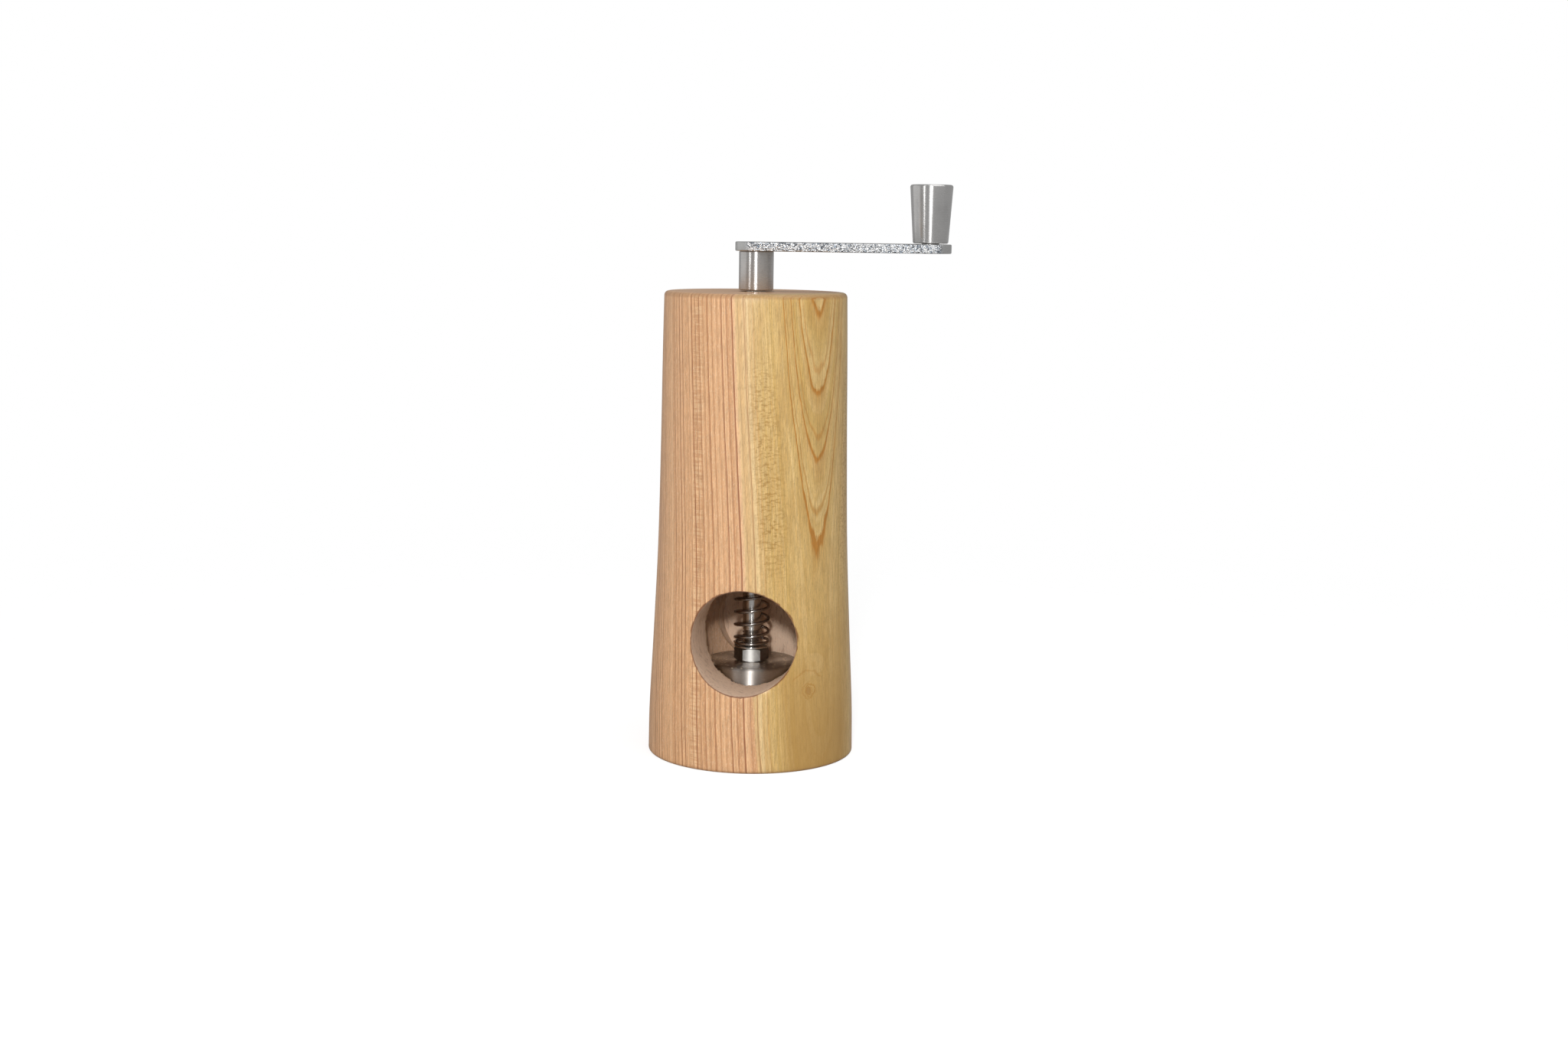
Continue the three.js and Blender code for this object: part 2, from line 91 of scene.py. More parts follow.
def points_of(parts):
    """The vertices among the new parts that an operator gives back."""
    return [part for part in parts if isinstance(part, bmesh.types.BMVert)]


def soften(bm, width, segments=2, sharper_than=30):
    """Breaks every edge that turns by more than an angle, as a file or a sanding does."""
    edges = [e for e in bm.edges if e.is_manifold and e.calc_face_angle() > radians(sharper_than)]
    bmesh.ops.bevel(
        bm, geom=edges, offset=width, affect="EDGES", segments=segments, profile=0.5, material=-1,
    )
    return bm


def stand_in(bm):
    """A mesh object for a shape that is still being cut."""
    mesh = bpy.data.meshes.new("work")
    bm.to_mesh(mesh)
    bm.free()
    made = bpy.data.objects.new("work", mesh)
    bpy.context.collection.objects.link(made)
    return made


def carved(bm, cutter, operation="DIFFERENCE"):
    """The shape with another one cut out of it, or joined on."""
    blank, tool = stand_in(bm), stand_in(cutter)
    cut = blank.modifiers.new("cut", "BOOLEAN")
    cut.operation = operation
    cut.solver = "EXACT"
    cut.object = tool
    done = blank.evaluated_get(bpy.context.evaluated_depsgraph_get())
    result = bmesh.new()
    result.from_mesh(done.to_mesh())
    done.to_mesh_clear()
    for used in (blank, tool):
        mesh = used.data
        bpy.data.objects.remove(used)
        bpy.data.meshes.remove(mesh)
    bmesh.ops.remove_doubles(result, verts=result.verts, dist=0.002)
    bmesh.ops.dissolve_degenerate(result, dist=0.001, edges=result.edges)
    return result


def finished(name, bm, materials, body, nodes, sharp=32):
    """The shape as a piece of the mill: scaled, put on the axis, and made to ride on its body."""
    bmesh.ops.triangulate(bm, faces=[f for f in bm.faces if len(f.verts) > 4])
    bm.transform(Matrix.Translation(MILL_AXIS) @ Matrix.Scale(MM, 4))
    mesh = bpy.data.meshes.new(name)
    bm.to_mesh(mesh)
    bm.free()
    mesh.shade_smooth()
    mesh.set_sharp_from_angle(angle=radians(sharp))
    for each in materials:
        mesh.materials.append(each)
    piece = bpy.data.objects.new(name, mesh)
    bpy.context.collection.objects.link(piece)
    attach(piece, body)
    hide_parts(*nodes)
    return piece


body_high = span("wooden_body")[1]
BODY_HEIGHT = body_high.z
FOOT_RADIUS = body_high.y
FOOT_EDGE, TOP_EDGE, BORE_EDGE = 0.5, 1.2, 0.15
SIDE = [
    (FOOT_RADIUS, FOOT_EDGE), (27.0, 12), (26.1, 30), (24.98, 55), (24.42, 80), (24.0, 108),
    (23.75, BODY_HEIGHT - TOP_EDGE),
]
RECESS_RADIUS, RECESS_DEPTH = 20.3, 3.25
CHAMBER_RADIUS, CHAMBER_CEILING = 12.9, 60.2
SPRING_BORE_RADIUS, SPRING_BORE_TOP = 5.6, 104.0
BUSH_HOLE_RADIUS = 4.05
WINDOW_RADIUS, WINDOW_HEIGHT, WINDOW_OFFSET = 13.4, 33.4, 2.64
WINDOW_TURN, WINDOW_FAR_DEPTH, WINDOW_EDGE = radians(-12), 13.5, 0.3
SCREW_CIRCLE, SCREW_COUNT = 16.7, 3
PILOT_RADIUS, PILOT_TOP, PILOT_LENGTH = 1.15, 13.2, 15


def side_radius(height):
    """The body's outer radius at a height, smooth through the turned side's points."""
    last = len(SIDE) - 2
    at = next((i for i in range(last + 1) if height <= SIDE[i + 1][1]), last)
    before, start, end, after = (SIDE[min(max(i, 0), last + 1)] for i in range(at - 1, at + 3))
    reach = end[1] - start[1]
    t = min(max((height - start[1]) / reach, 0), 1)
    slope_in = (end[0] - before[0]) / (end[1] - before[1]) * reach
    slope_out = (after[0] - start[0]) / (after[1] - start[1]) * reach
    return (
        start[0] * (2 * t**3 - 3 * t**2 + 1) + end[0] * (3 * t**2 - 2 * t**3)
        + slope_in * (t**3 - 2 * t**2 + t) + slope_out * (t**3 - t**2)
    )


def rounded(centre_radius, centre_height, size, start, steps=5):
    """A quarter round as (radius, height) points."""
    turns = [start + i / steps * pi / 2 for i in range(steps + 1)]
    return [(centre_radius + size * cos(a), centre_height + size * sin(a)) for a in turns]


side_steps = 84
side_low, side_high = FOOT_EDGE, BODY_HEIGHT - TOP_EDGE
side_heights = [side_low + (side_high - side_low) * i / side_steps for i in range(side_steps + 1)]
shoulder = SIDE[-1][0]
wood = turned(
    rounded(FOOT_RADIUS - FOOT_EDGE, FOOT_EDGE, FOOT_EDGE, -pi / 2, 4)[:-1]
    + [(side_radius(z), z) for z in side_heights]
    + rounded(shoulder - TOP_EDGE, side_high, TOP_EDGE, 0)[1:]
    + [(radius, BODY_HEIGHT) for radius in (18, 12, 7)]
    + [
        (BUSH_HOLE_RADIUS, BODY_HEIGHT), (BUSH_HOLE_RADIUS, SPRING_BORE_TOP),
        (SPRING_BORE_RADIUS, SPRING_BORE_TOP), (SPRING_BORE_RADIUS, CHAMBER_CEILING),
        (CHAMBER_RADIUS, CHAMBER_CEILING),
    ]
    + [(CHAMBER_RADIUS, z) for z in range(58, 4, -3)]
    + [(CHAMBER_RADIUS, RECESS_DEPTH), (RECESS_RADIUS, RECESS_DEPTH), (RECESS_RADIUS, 0)],
    steps=224,
)
soften(wood, BORE_EDGE)
for face in wood.faces:
    centre = face.calc_center_median()
    inside = hypot(centre.x, centre.y) < RECESS_RADIUS + BORE_EDGE and centre.z < BODY_HEIGHT - 0.1
    face.material_index = 1 if inside else 0

# The drill leaves a slightly broken outer rim and tears splinters from the bore's edge.
TEAR_DEPTH, TEAR_REACH = 1.25, 1.6
drill = bmesh.new()
bmesh.ops.create_circle(drill, cap_ends=True, radius=1, segments=224)
ring = drill.edges[:]
around = {vert: atan2(vert.co.y, vert.co.x) for vert in drill.verts}


def rim_depths(turn):
    """Along the drill at one place round it: where it enters the wood and where it meets the bore."""
    across = WINDOW_OFFSET + WINDOW_RADIUS * cos(turn)
    outer = side_radius(WINDOW_HEIGHT + WINDOW_RADIUS * sin(turn))
    return -sqrt(outer**2 - across**2), -sqrt(max(CHAMBER_RADIUS**2 - across**2, 0))


def torn(turn, past):
    """How far a splinter has torn out beside the bore's edge, past it being negative in the wood."""
    lower_left = 0.35 + 0.65 * max(0, cos(turn - radians(232)))
    spiky = max(0, noise.noise((cos(turn) * 9, sin(turn) * 9, 4.7))) ** 1.5
    fine = max(0, noise.noise((cos(turn) * 26, sin(turn) * 26, 1.3)))
    fade = min(max(1 + past / TEAR_REACH, 0), 1) if past < 0 else max(1 - past / 3, 0)
    return TEAR_DEPTH * lower_left * (2.1 * spiky + 0.9 * fine) * fade**2


def drill_station(turn, kind, value):
    """(radius, depth) of the drill's skin at a place round it, for one station along it."""
    enter, bore = rim_depths(turn)
    if kind == "outside":
        return WINDOW_RADIUS + WINDOW_EDGE + 1.2, enter - value
    if kind == "rim":
        return (
            WINDOW_RADIUS + WINDOW_EDGE * (1 - cos(value)),
            enter + WINDOW_EDGE * (1 - sin(value)),
        )
    if kind == "tunnel":
        start = enter + WINDOW_EDGE
        return WINDOW_RADIUS, start + (bore - TEAR_REACH - start) * value
    if kind == "edge":
        return WINDOW_RADIUS + torn(turn, value), bore + value
    return WINDOW_RADIUS, WINDOW_FAR_DEPTH


stations = (
    [("outside", 3.0), ("outside", 0.35)]
    + [("rim", radians(a)) for a in (70, 50, 30, 15, 0)]
    + [("tunnel", v) for v in (0.3, 0.6, 0.85)]
    + [("edge", -TEAR_REACH + 0.16 * i) for i in range(15)]
    + [("edge", 3.2), ("end", 0)]
)
for number, (kind, value) in enumerate(stations):
    if number > 0:
        skin = bmesh.ops.extrude_edge_only(drill, edges=ring)["geom"]
        new_verts = set(points_of(skin))
        for vert in {vert for edge in ring for vert in edge.verts}:
            neighbours = {edge.other_vert(vert) for edge in vert.link_edges}
            around[(neighbours & new_verts).pop()] = around[vert]
        ring = [
            part for part in skin
            if isinstance(part, bmesh.types.BMEdge) and all(v in new_verts for v in part.verts)
        ]
    for vert in {vert for edge in ring for vert in edge.verts}:
        radius, depth = drill_station(around[vert], kind, value)
        turn = around[vert]
        vert.co = (WINDOW_OFFSET + radius * cos(turn), depth, WINDOW_HEIGHT + radius * sin(turn))
bmesh.ops.edgeloop_fill(drill, edges=ring)
swung(drill, WINDOW_TURN)
for i in range(SCREW_COUNT):
    bmesh.ops.create_cone(
        drill, cap_ends=True, segments=24, radius1=PILOT_RADIUS, radius2=PILOT_RADIUS,
        depth=PILOT_LENGTH, matrix=Matrix.Rotation(pi / 2 + i * tau / SCREW_COUNT, 4, "Z")
        @ Matrix.Translation((SCREW_CIRCLE, 0, PILOT_TOP - PILOT_LENGTH / 2)),
    )
bmesh.ops.recalc_face_normals(drill, faces=drill.faces)
for face in drill.faces:
    face.material_index = 1
wood = carved(wood, drill)


def is_output(value):
    return isinstance(value, bpy.types.NodeSocket)


def add(kind, sockets, tree=None, **settings):
    """A shader node with its settings. Each socket gets a value or another node's output, and
    the node goes in the tree of those outputs where no tree is given."""
    tree = tree or next(value.id_data for value in sockets.values() if is_output(value))
    made = tree.nodes.new("ShaderNode" + kind)
    for setting, value in settings.items():
        setattr(made, setting, value)
    for socket, value in sockets.items():
        if is_output(value):
            tree.links.new(value, made.inputs[socket])
        else:
            made.inputs[socket].default_value = value
    return made


def step(operation, *values, clamp=False):
    """One step of arithmetic between numbers or outputs."""
    return add("Math", dict(enumerate(values)), operation=operation, use_clamp=clamp).outputs[0]


def times(first, second, clamp=False):
    return step("MULTIPLY", first, second, clamp=clamp)


def plus(first, second):
    return step("ADD", first, second)


def minus(first, second):
    return step("SUBTRACT", first, second)


def larger(first, second):
    return step("MAXIMUM", first, second)


def nudged(value, mottling, amount):
    """A value pushed up and down by soft noise."""
    return step("MULTIPLY_ADD", minus(mottling, 0.5), amount, value)


def vector_step(operation, *vectors):
    """One step of arithmetic between places or directions."""
    made = add("VectorMath", dict(enumerate(vectors)), operation=operation)
    gives_number = operation in ("DOT_PRODUCT", "DISTANCE", "LENGTH")
    return made.outputs["Value" if gives_number else "Vector"]


def out_from_axis(place):
    """How far a place is from the upright line through its zero."""
    return vector_step("LENGTH", vector_step("MULTIPLY", place, (1, 1, 0)))


def axes_of(place):
    """A place's X, Y and Z."""
    return add("SeparateXYZ", {0: place}).outputs


def ramped(value, start, end, low=0.0, high=1.0):
    """A value eased from low to high as it goes from start to end."""
    return add(
        "MapRange",
        {"Value": value, "From Min": start, "From Max": end, "To Min": low, "To Max": high},
        interpolation_type="SMOOTHSTEP",
    ).outputs["Result"]


def band(value, middle, outer, inner):
    """1 within inner of the middle, falling to 0 at outer."""
    return ramped(step("ABSOLUTE", minus(value, middle)), outer, inner)


def blended(amount, below, above, how="MIX"):
    """Two colours mixed, or one laid over the other."""
    below, above = (colour if is_output(colour) else (*colour, 1) for colour in (below, above))
    colours = {"Factor": amount, 6: below, 7: above}
    return add("Mix", colours, data_type="RGBA", blend_type=how).outputs[2]


def tinted(colour, mask, strength, over):
    """Another colour laid over one where a mask says, at some strength."""
    return blended(times(mask, strength, clamp=True), colour, over)


def stretched(place, scale, turn=(0, 0, 0), shift=(0, 0, 0)):
    """A place read at another scale along each axis, as features per millimetre."""
    sockets = {"Vector": place, "Scale": scale, "Rotation": turn, "Location": shift}
    return add("Mapping", sockets).outputs["Vector"]


def mottle(place, scale, detail=3.0, rough=0.55, warp=0.0, turn=(0, 0, 0), shift=(0, 0, 0)):
    """Soft noise from 0 to 1, stretched to a scale along each axis."""
    at = stretched(place, scale, turn, shift)
    sockets = {"Vector": at, "Scale": 1.0, "Detail": detail, "Roughness": rough, "Distortion": warp}
    return add("TexNoise", sockets, noise_dimensions="3D").outputs["Fac"]


def streaks(along, scale, detail, rough):
    """Noise from 0 to 1 that changes with one value only."""
    sockets = {"W": along, "Scale": scale, "Detail": detail, "Roughness": rough}
    return add("TexNoise", sockets, noise_dimensions="1D").outputs["Fac"]


def effect(name, inputs, outputs):
    """An empty shader node group with named sockets, and its two ends."""
    group = bpy.data.node_groups.new(name, "ShaderNodeTree")
    for socket, kind, default in inputs:
        made = group.interface.new_socket(socket, in_out="INPUT", socket_type="NodeSocket" + kind)
        if default is not None:
            made.default_value = default
    for socket in outputs:
        group.interface.new_socket(socket, in_out="OUTPUT", socket_type="NodeSocketFloat")
    return group, group.nodes.new("NodeGroupInput"), group.nodes.new("NodeGroupOutput")


def put_out(outside, values):
    """Leads each of an effect's values to its named output."""
    for name, value in values.items():
        outside.id_data.links.new(value, outside.inputs[name])


def placed(group, **sockets):
    """A node group put to work in a material."""
    return add("Group", sockets, node_tree=group).outputs


def surface_of(tree):
    return next(n for n in tree.nodes if n.type == "BSDF_PRINCIPLED")


def new_material(name, centre=(0, 0, 0)):
    """A bare material, the place in millimetres from a centre, and its surface shader."""
    made = bpy.data.materials.new(name)
    made.use_nodes = True
    tree = made.node_tree
    shift = -(MILL_AXIS / MM + Vector(centre))
    place = add("TexCoord", {}, tree).outputs["Object"]
    return made, stretched(place, (1 / MM,) * 3, shift=shift), surface_of(tree)


def join(output, surface, socket):
    surface.id_data.links.new(output, surface.inputs[socket])


def bumped(height, distance, strength=1.0):
    """A normal from a height map, the distance being in metres."""
    sockets = {"Height": height, "Distance": distance, "Strength": strength}
    return add("Bump", sockets).outputs["Normal"]


# Growth rings stand nearly upright and face the front right, so they show as fine upright lines
# on the left and as long tongues on the right. The bark side is pale, the heart side pink, and
# "across" is how far a place lies from the heart towards the bark, in millimetres.
BARKWARD = (0.67, -0.74, 0.055)
RINGS_PER_MM, FIRST_RING, CROWDED_FROM = 0.83, -0.288, 22.0
HEARTWOOD_EDGE, TONGUES_START, TONGUES_FULL = 19.8, 27.84, 28.0
SEAM_ACROSS, STAIN_ACROSS, RAYS_ACROSS = 22.2, 24.4, 7.5
KNOT, KNOT_HOOK = Vector((14.7, -22.1, 20.8)), Vector((17.0, -20.4, 27.5))
figure, inside, outside = effect(
    "wood_figure", [("Place", "Vector", None)],
    ["Across", "Sap", "Line", "Stripe", "Fibre", "Pore", "Ray", "Fleck", "Stain", "Knot", "Patch"],
)
place = inside.outputs["Place"]
height = axes_of(place)["Z"]
wander = mottle(place, (0.05, 0.05, 0.022), detail=2)
ripple = mottle(place, (0.5, 0.5, 0.09), shift=(3, 1, 0), detail=3)
across = vector_step("DOT_PRODUCT", place, BARKWARD)
across = nudged(nudged(across, wander, 0.5), ripple, 0.22)

# A knot low on the right bends the rings round itself.
swirl = mottle(place, (0.5, 0.5, 0.5), detail=3)
knot_gap = nudged(vector_step("DISTANCE", place, KNOT), swirl, 2.4)
hook_gap = vector_step("DISTANCE", place, KNOT_HOOK)
across = plus(across, ramped(knot_gap, 0.2, 3.0, 0.9, 0))
across = minus(across, ramped(hook_gap, 0.5, 5.0, 0.45, 0))

# Every ring darkens towards its late wood and ends sharply. The rings crowd towards the bark.
crowding = larger(minus(across, CROWDED_FROM), 0.0)
rings = step("MULTIPLY_ADD", across, RINGS_PER_MM, FIRST_RING)
rings = step("MULTIPLY_ADD", crowding, 0.5, rings)
ring_number = step("FLOOR", rings)
ring_part = step("FRACT", rings)
ring_random = add("TexWhiteNoise", {"W": ring_number}, noise_dimensions="1D").outputs["Value"]
line_start = ramped(across, 19.5, 25.0, 0.56, 0.82)
late_wood = times(ramped(ring_part, line_start, 0.94), ramped(ring_part, 1.0, 0.95))
late_wood = larger(late_wood, times(ramped(ring_part, 0.45, 0.98), 0.28))

# Rings differ in strength. They are faint in the yellow part and strong in the tongues, where
# each has a second, weaker line.
outer_rings = ramped(across, TONGUES_START, TONGUES_FULL, 0, 0.75)
faint_rings = times(ramped(across, 22.5, 24.5), ramped(across, TONGUES_FULL, TONGUES_START))
strength = step("POWER", ring_random, 1.6)
strength = step("MULTIPLY_ADD", strength, 1.15, plus(outer_rings, 0.16))
strength = times(strength, step("MULTIPLY_ADD", faint_rings, -0.72, 1.0))
line = times(late_wood, strength, clamp=True)
in_tongues = ramped(across, TONGUES_FULL - 0.05, TONGUES_FULL + 0.1, 0, 0.5)
line = larger(line, times(band(ring_part, 0.24, 0.07, 0.01), in_tongues))

# One thin dark seam runs down from the top, and the knot has rings and a hook of its own.
near_top = ramped(height, 84, 98, 0, 0.8)
line = larger(line, times(band(across, SEAM_ACROSS, 0.11, 0.02), near_top))
knot_rings = ramped(step("FRACT", times(knot_gap, 0.95)), 0.45, 0.9)
knot_rings = times(knot_rings, ramped(knot_gap, 3.4, 1.2))
above_knot = ramped(height, 22.5, 24.5, 0, 0.7)
knot_rings = larger(knot_rings, times(band(knot_gap, 5.2, 0.45, 0.05), above_knot))
knot_rings = times(knot_rings, ramped(swirl, 0.30, 0.46))
line = larger(line, times(knot_rings, 0.75))

# Finer marks: stripes that follow the rings, fibres, pores, the rays that cross them, and flecks.
stripe = streaks(rings, 0.9, 4.0, 0.75)
fibre = mottle(place, (3.4, 3.4, 0.22), detail=5, rough=0.72)
pore = ramped(mottle(place, (5.2, 5.2, 0.8), detail=2), 0.58, 0.66)
shimmer = mottle(place, (0.18, 0.18, 2.1), detail=2, rough=0.6)
quarter_cut = step("MULTIPLY_ADD", height, -0.028, across)
quarter_cut = band(quarter_cut, RAYS_ACROSS, 2.3, 0.5)
ray = times(ramped(shimmer, 0.44, 0.57, -0.5, 1), quarter_cut)
fleck = mottle(place, (3.6, 3.6, 1.7), turn=(0, radians(32), 0), detail=2)
fleck = ramped(fleck, 0.56, 0.66)
stain = mottle(place, (0.75, 0.75, 1.7), turn=(0, 0.35, 0), detail=4, rough=0.6)
stain = ramped(stain, 0.46, 0.64)
stain = times(stain, band(across, STAIN_ACROSS, 3.0, 0.6))
stain_height = times(ramped(height, 40, 62), ramped(height, 112, 96))
patch = mottle(place, (0.28, 0.28, 0.05), detail=4, rough=0.6)
heartward = minus(across, ramped(height, 46, 6, 0, 1.3))
sap = ramped(heartward, HEARTWOOD_EDGE, HEARTWOOD_EDGE + 0.7)
put_out(outside, {
    "Across": across, "Sap": sap, "Line": line, "Stripe": stripe, "Fibre": fibre, "Pore": pore,
    "Ray": ray, "Fleck": fleck, "Stain": times(stain, stain_height),
    "Knot": ramped(knot_gap, 1.3, 0.5), "Patch": ramped(patch, 0.42, 0.66),
})

PINK_PALE, PINK_DEEP, PINK_LINE = (0.87, 0.52, 0.275), (0.72, 0.385, 0.185), (0.36, 0.125, 0.045)
PINK_RAY, PINK_RAY_SHADE, PINK_FLECK = (0.93, 0.64, 0.36), (0.58, 0.29, 0.135), (0.93, 0.66, 0.42)
GOLD_PALE, GOLD_DEEP, GOLD_LINE = (0.80, 0.55, 0.23), (0.68, 0.44, 0.145), (0.52, 0.215, 0.03)
GOLD_PATCH, GOLD_FLECK = (0.58, 0.34, 0.10), (0.56, 0.34, 0.11)
CREAM, CREAM_DEEP, CREAM_LINE = (0.87, 0.62, 0.31), (0.76, 0.48, 0.21), (0.50, 0.26, 0.10)
PINK_PORE, GOLD_PORE = (0.45, 0.23, 0.12), (0.36, 0.22, 0.07)
STAIN_BROWN, KNOT_BROWN, BURNT = (0.44, 0.235, 0.05), (0.34, 0.15, 0.045), (0.20, 0.065, 0.022)


def wood_colour(found):
    """The wood's own colour from its figure, before oil, burns and wear."""
    banded = ramped(found["Stripe"], 0.38, 0.62)
    pink = blended(banded, PINK_PALE, PINK_DEEP)
    pink = tinted(pink, found["Ray"], 0.42, PINK_RAY)
    pink = tinted(pink, found["Ray"], -0.6, PINK_RAY_SHADE)
    pink = tinted(pink, found["Fleck"], 0.42, PINK_FLECK)
    gold = blended(banded, GOLD_PALE, GOLD_DEEP)
    gold = tinted(gold, found["Patch"], 0.5, GOLD_PATCH)
    gold = tinted(gold, found["Fleck"], 0.4, GOLD_FLECK)
    near_heart = ramped(found["Across"], 24.2, 21.6)
    gold = blended(near_heart, gold, blended(banded, CREAM, CREAM_DEEP))
    made = blended(found["Sap"], pink, gold)
    gold_line = blended(near_heart, GOLD_LINE, CREAM_LINE)
    made = tinted(made, found["Line"], 0.95, blended(found["Sap"], PINK_LINE, gold_line))
    made = tinted(made, found["Stain"], 0.75, STAIN_BROWN)
    made = tinted(made, found["Pore"], 0.3, blended(found["Sap"], PINK_PORE, GOLD_PORE))
    made = tinted(made, found["Knot"], 0.7, KNOT_BROWN)
    shade = ramped(found["Fibre"], 0.34, 0.66, 0.80, 1.10)
    grey = add("CombineXYZ", {0: shade, 1: shade, 2: shade}).outputs[0]
    return blended(1.0, made, grey, "MULTIPLY")


def round_the_window(place):
    """How far a place is from the drill's own axis, and how far along it, outwards being minus."""
    drilled = axes_of(stretched(place, (1, 1, 1), turn=(0, 0, -WINDOW_TURN)))
    sideways = minus(drilled["X"], WINDOW_OFFSET)
    upwards = minus(drilled["Z"], WINDOW_HEIGHT)
    flat = add("CombineXYZ", {0: sideways, 1: upwards}).outputs[0]
    return vector_step("LENGTH", flat), drilled["Y"]


# Outside, oil darkens the end grain, and the drill has scorched the window's rim. Low on the bark
# side the colour is deeper and carries painted shade; the foot gets painted contact shade, and the
# rounded top edge is tinted darker.
LOW_BARK_AND_SHADE, FOOT_CONTACT_SHADE = (0.47, 0.26, 0.065), (0.30, 0.15, 0.07)
END_GRAIN, DARKER_TOP_EDGE = (0.42, 0.30, 0.20), (0.34, 0.17, 0.07)
oiled_wood, place, surface = new_material("oiled_turned_wood")
found = placed(figure, Place=place)
colour = wood_colour(found)
height = axes_of(place)["Z"]
# Low on the bark side: a deeper wood colour together with painted shade.
low_bark_and_shade = times(ramped(height, 55, 6), ramped(found["Across"], 23.8, 26.4))
colour = tinted(colour, low_bark_and_shade, 0.75, LOW_BARK_AND_SHADE)
# Painted contact shade on the foot's round, where it meets the floor.
colour = tinted(colour, ramped(height, 0.9, 0.3), 0.5, FOOT_CONTACT_SHADE)
end_grain = ramped(height, BODY_HEIGHT - 0.9, BODY_HEIGHT - 0.3)
colour = tinted(colour, end_grain, 0.35, END_GRAIN)
# The rounded top edge is tinted darker.
round_edge = times(
    ramped(height, BODY_HEIGHT - 1.5, BODY_HEIGHT - 0.8),
    ramped(height, BODY_HEIGHT + 0.02, BODY_HEIGHT - 0.35),
)
colour = tinted(colour, round_edge, 0.45, DARKER_TOP_EDGE)
from_window, along_drill = round_the_window(place)
scorch = mottle(place, (0.35, 0.35, 0.35), detail=3)
burn_width = ramped(scorch, 0.40, 0.65, WINDOW_RADIUS + 0.36, WINDOW_RADIUS + 0.66)
burn = ramped(minus(from_window, burn_width), 0.0, -0.3)
burn = times(ramped(along_drill, -5, -15), burn)
join(tinted(colour, burn, 0.85, BURNT), surface, "Base Color")
join(ramped(found["Fibre"], 0.3, 0.7, 0.46, 0.36), surface, "Roughness")
relief = step("MULTIPLY_ADD", found["Pore"], -0.6, found["Fibre"])
relief = step("MULTIPLY_ADD", found["Line"], -0.25, relief)
join(bumped(relief, 0.00004, 0.6), surface, "Normal")

# Inside, the drill and the borer leave dry fibres standing, paler where splinters tore out.
BARE_BROWN, TUNNEL_PALE, FIBRE_DARK = (0.58, 0.365, 0.24), (0.92, 0.71, 0.54), (0.36, 0.20, 0.12)
FUZZ_PALE, SLIVER_PALE = (0.80, 0.66, 0.52), (0.80, 0.66, 0.36)
bare_wood, place, surface = new_material("bare_bored_wood")
found = placed(figure, Place=place)
from_axis = out_from_axis(place)
colour = blended(0.65, wood_colour(found), BARE_BROWN)
in_tunnel = ramped(from_axis, CHAMBER_RADIUS + 0.1, CHAMBER_RADIUS + 1.2)
colour = tinted(colour, in_tunnel, 0.62, TUNNEL_PALE)
rough_fibre = mottle(place, (1.1, 1.1, 0.28), detail=5, rough=0.7, warp=0.4)
colour = blended(ramped(rough_fibre, 0.50, 0.66, 0, 0.5), colour, FIBRE_DARK)
fuzz = mottle(place, (3.5, 3.5, 1.2), turn=(0.4, 0.2, 0), detail=4, rough=0.7)
colour = blended(ramped(fuzz, 0.52, 0.68, 0, 0.5), colour, FUZZ_PALE)
sliver = times(
    ramped(from_axis, CHAMBER_RADIUS + 0.02, CHAMBER_RADIUS + 0.12),
    ramped(from_axis, CHAMBER_RADIUS + 0.75, CHAMBER_RADIUS + 0.3),
)
sliver = times(sliver, ramped(fuzz, 0.45, 0.6))
colour = tinted(colour, sliver, 0.8, SLIVER_PALE)
from_window, along_drill = round_the_window(place)
rim_burn = times(
    ramped(along_drill, -18, -22),
    ramped(from_window, WINDOW_RADIUS - 0.01, WINDOW_RADIUS + 0.08),
)
join(tinted(colour, rim_burn, 0.85, BURNT), surface, "Base Color")
join(ramped(fuzz, 0.3, 0.7, 0.72, 0.9), surface, "Roughness")
join(bumped(plus(rough_fibre, fuzz), 0.00025, 0.8), surface, "Normal")

finished(
    "body_of_turned_wood", wood, [oiled_wood, bare_wood], "mill_body", ["wooden_body"],
    sharp=38,
)

# ---------------------------------------------------------------------------------------------
# Top bush: a flanged brass sleeve pushed up into the wood from below. The shaft runs in it and
# the spring pushes on its flange.

turning, inside, outside = effect(
    "turning_marks", [("Place", "Vector", None), ("Fineness", "Float", 1.0)],
    ["Groove", "Scratch", "Smudge"],
)
place = inside.outputs["Place"]
feed = plus(axes_of(place)["Z"], out_from_axis(place))
feed = times(feed, inside.outputs["Fineness"])
groove = streaks(feed, 7.0, 3.0, 0.7)
scratch = mottle(place, (0.9, 0.9, 5.0), turn=(0.5, 0.3, 0.2), detail=2, rough=0.4)
scratch = ramped(scratch, 0.68, 0.74)
smudge = mottle(place, (0.22, 0.22, 0.16), detail=4, rough=0.6)
put_out(outside, {"Groove": groove, "Scratch": scratch, "Smudge": smudge})
SCRATCH_BRIGHT = (0.85, 0.84, 0.82)


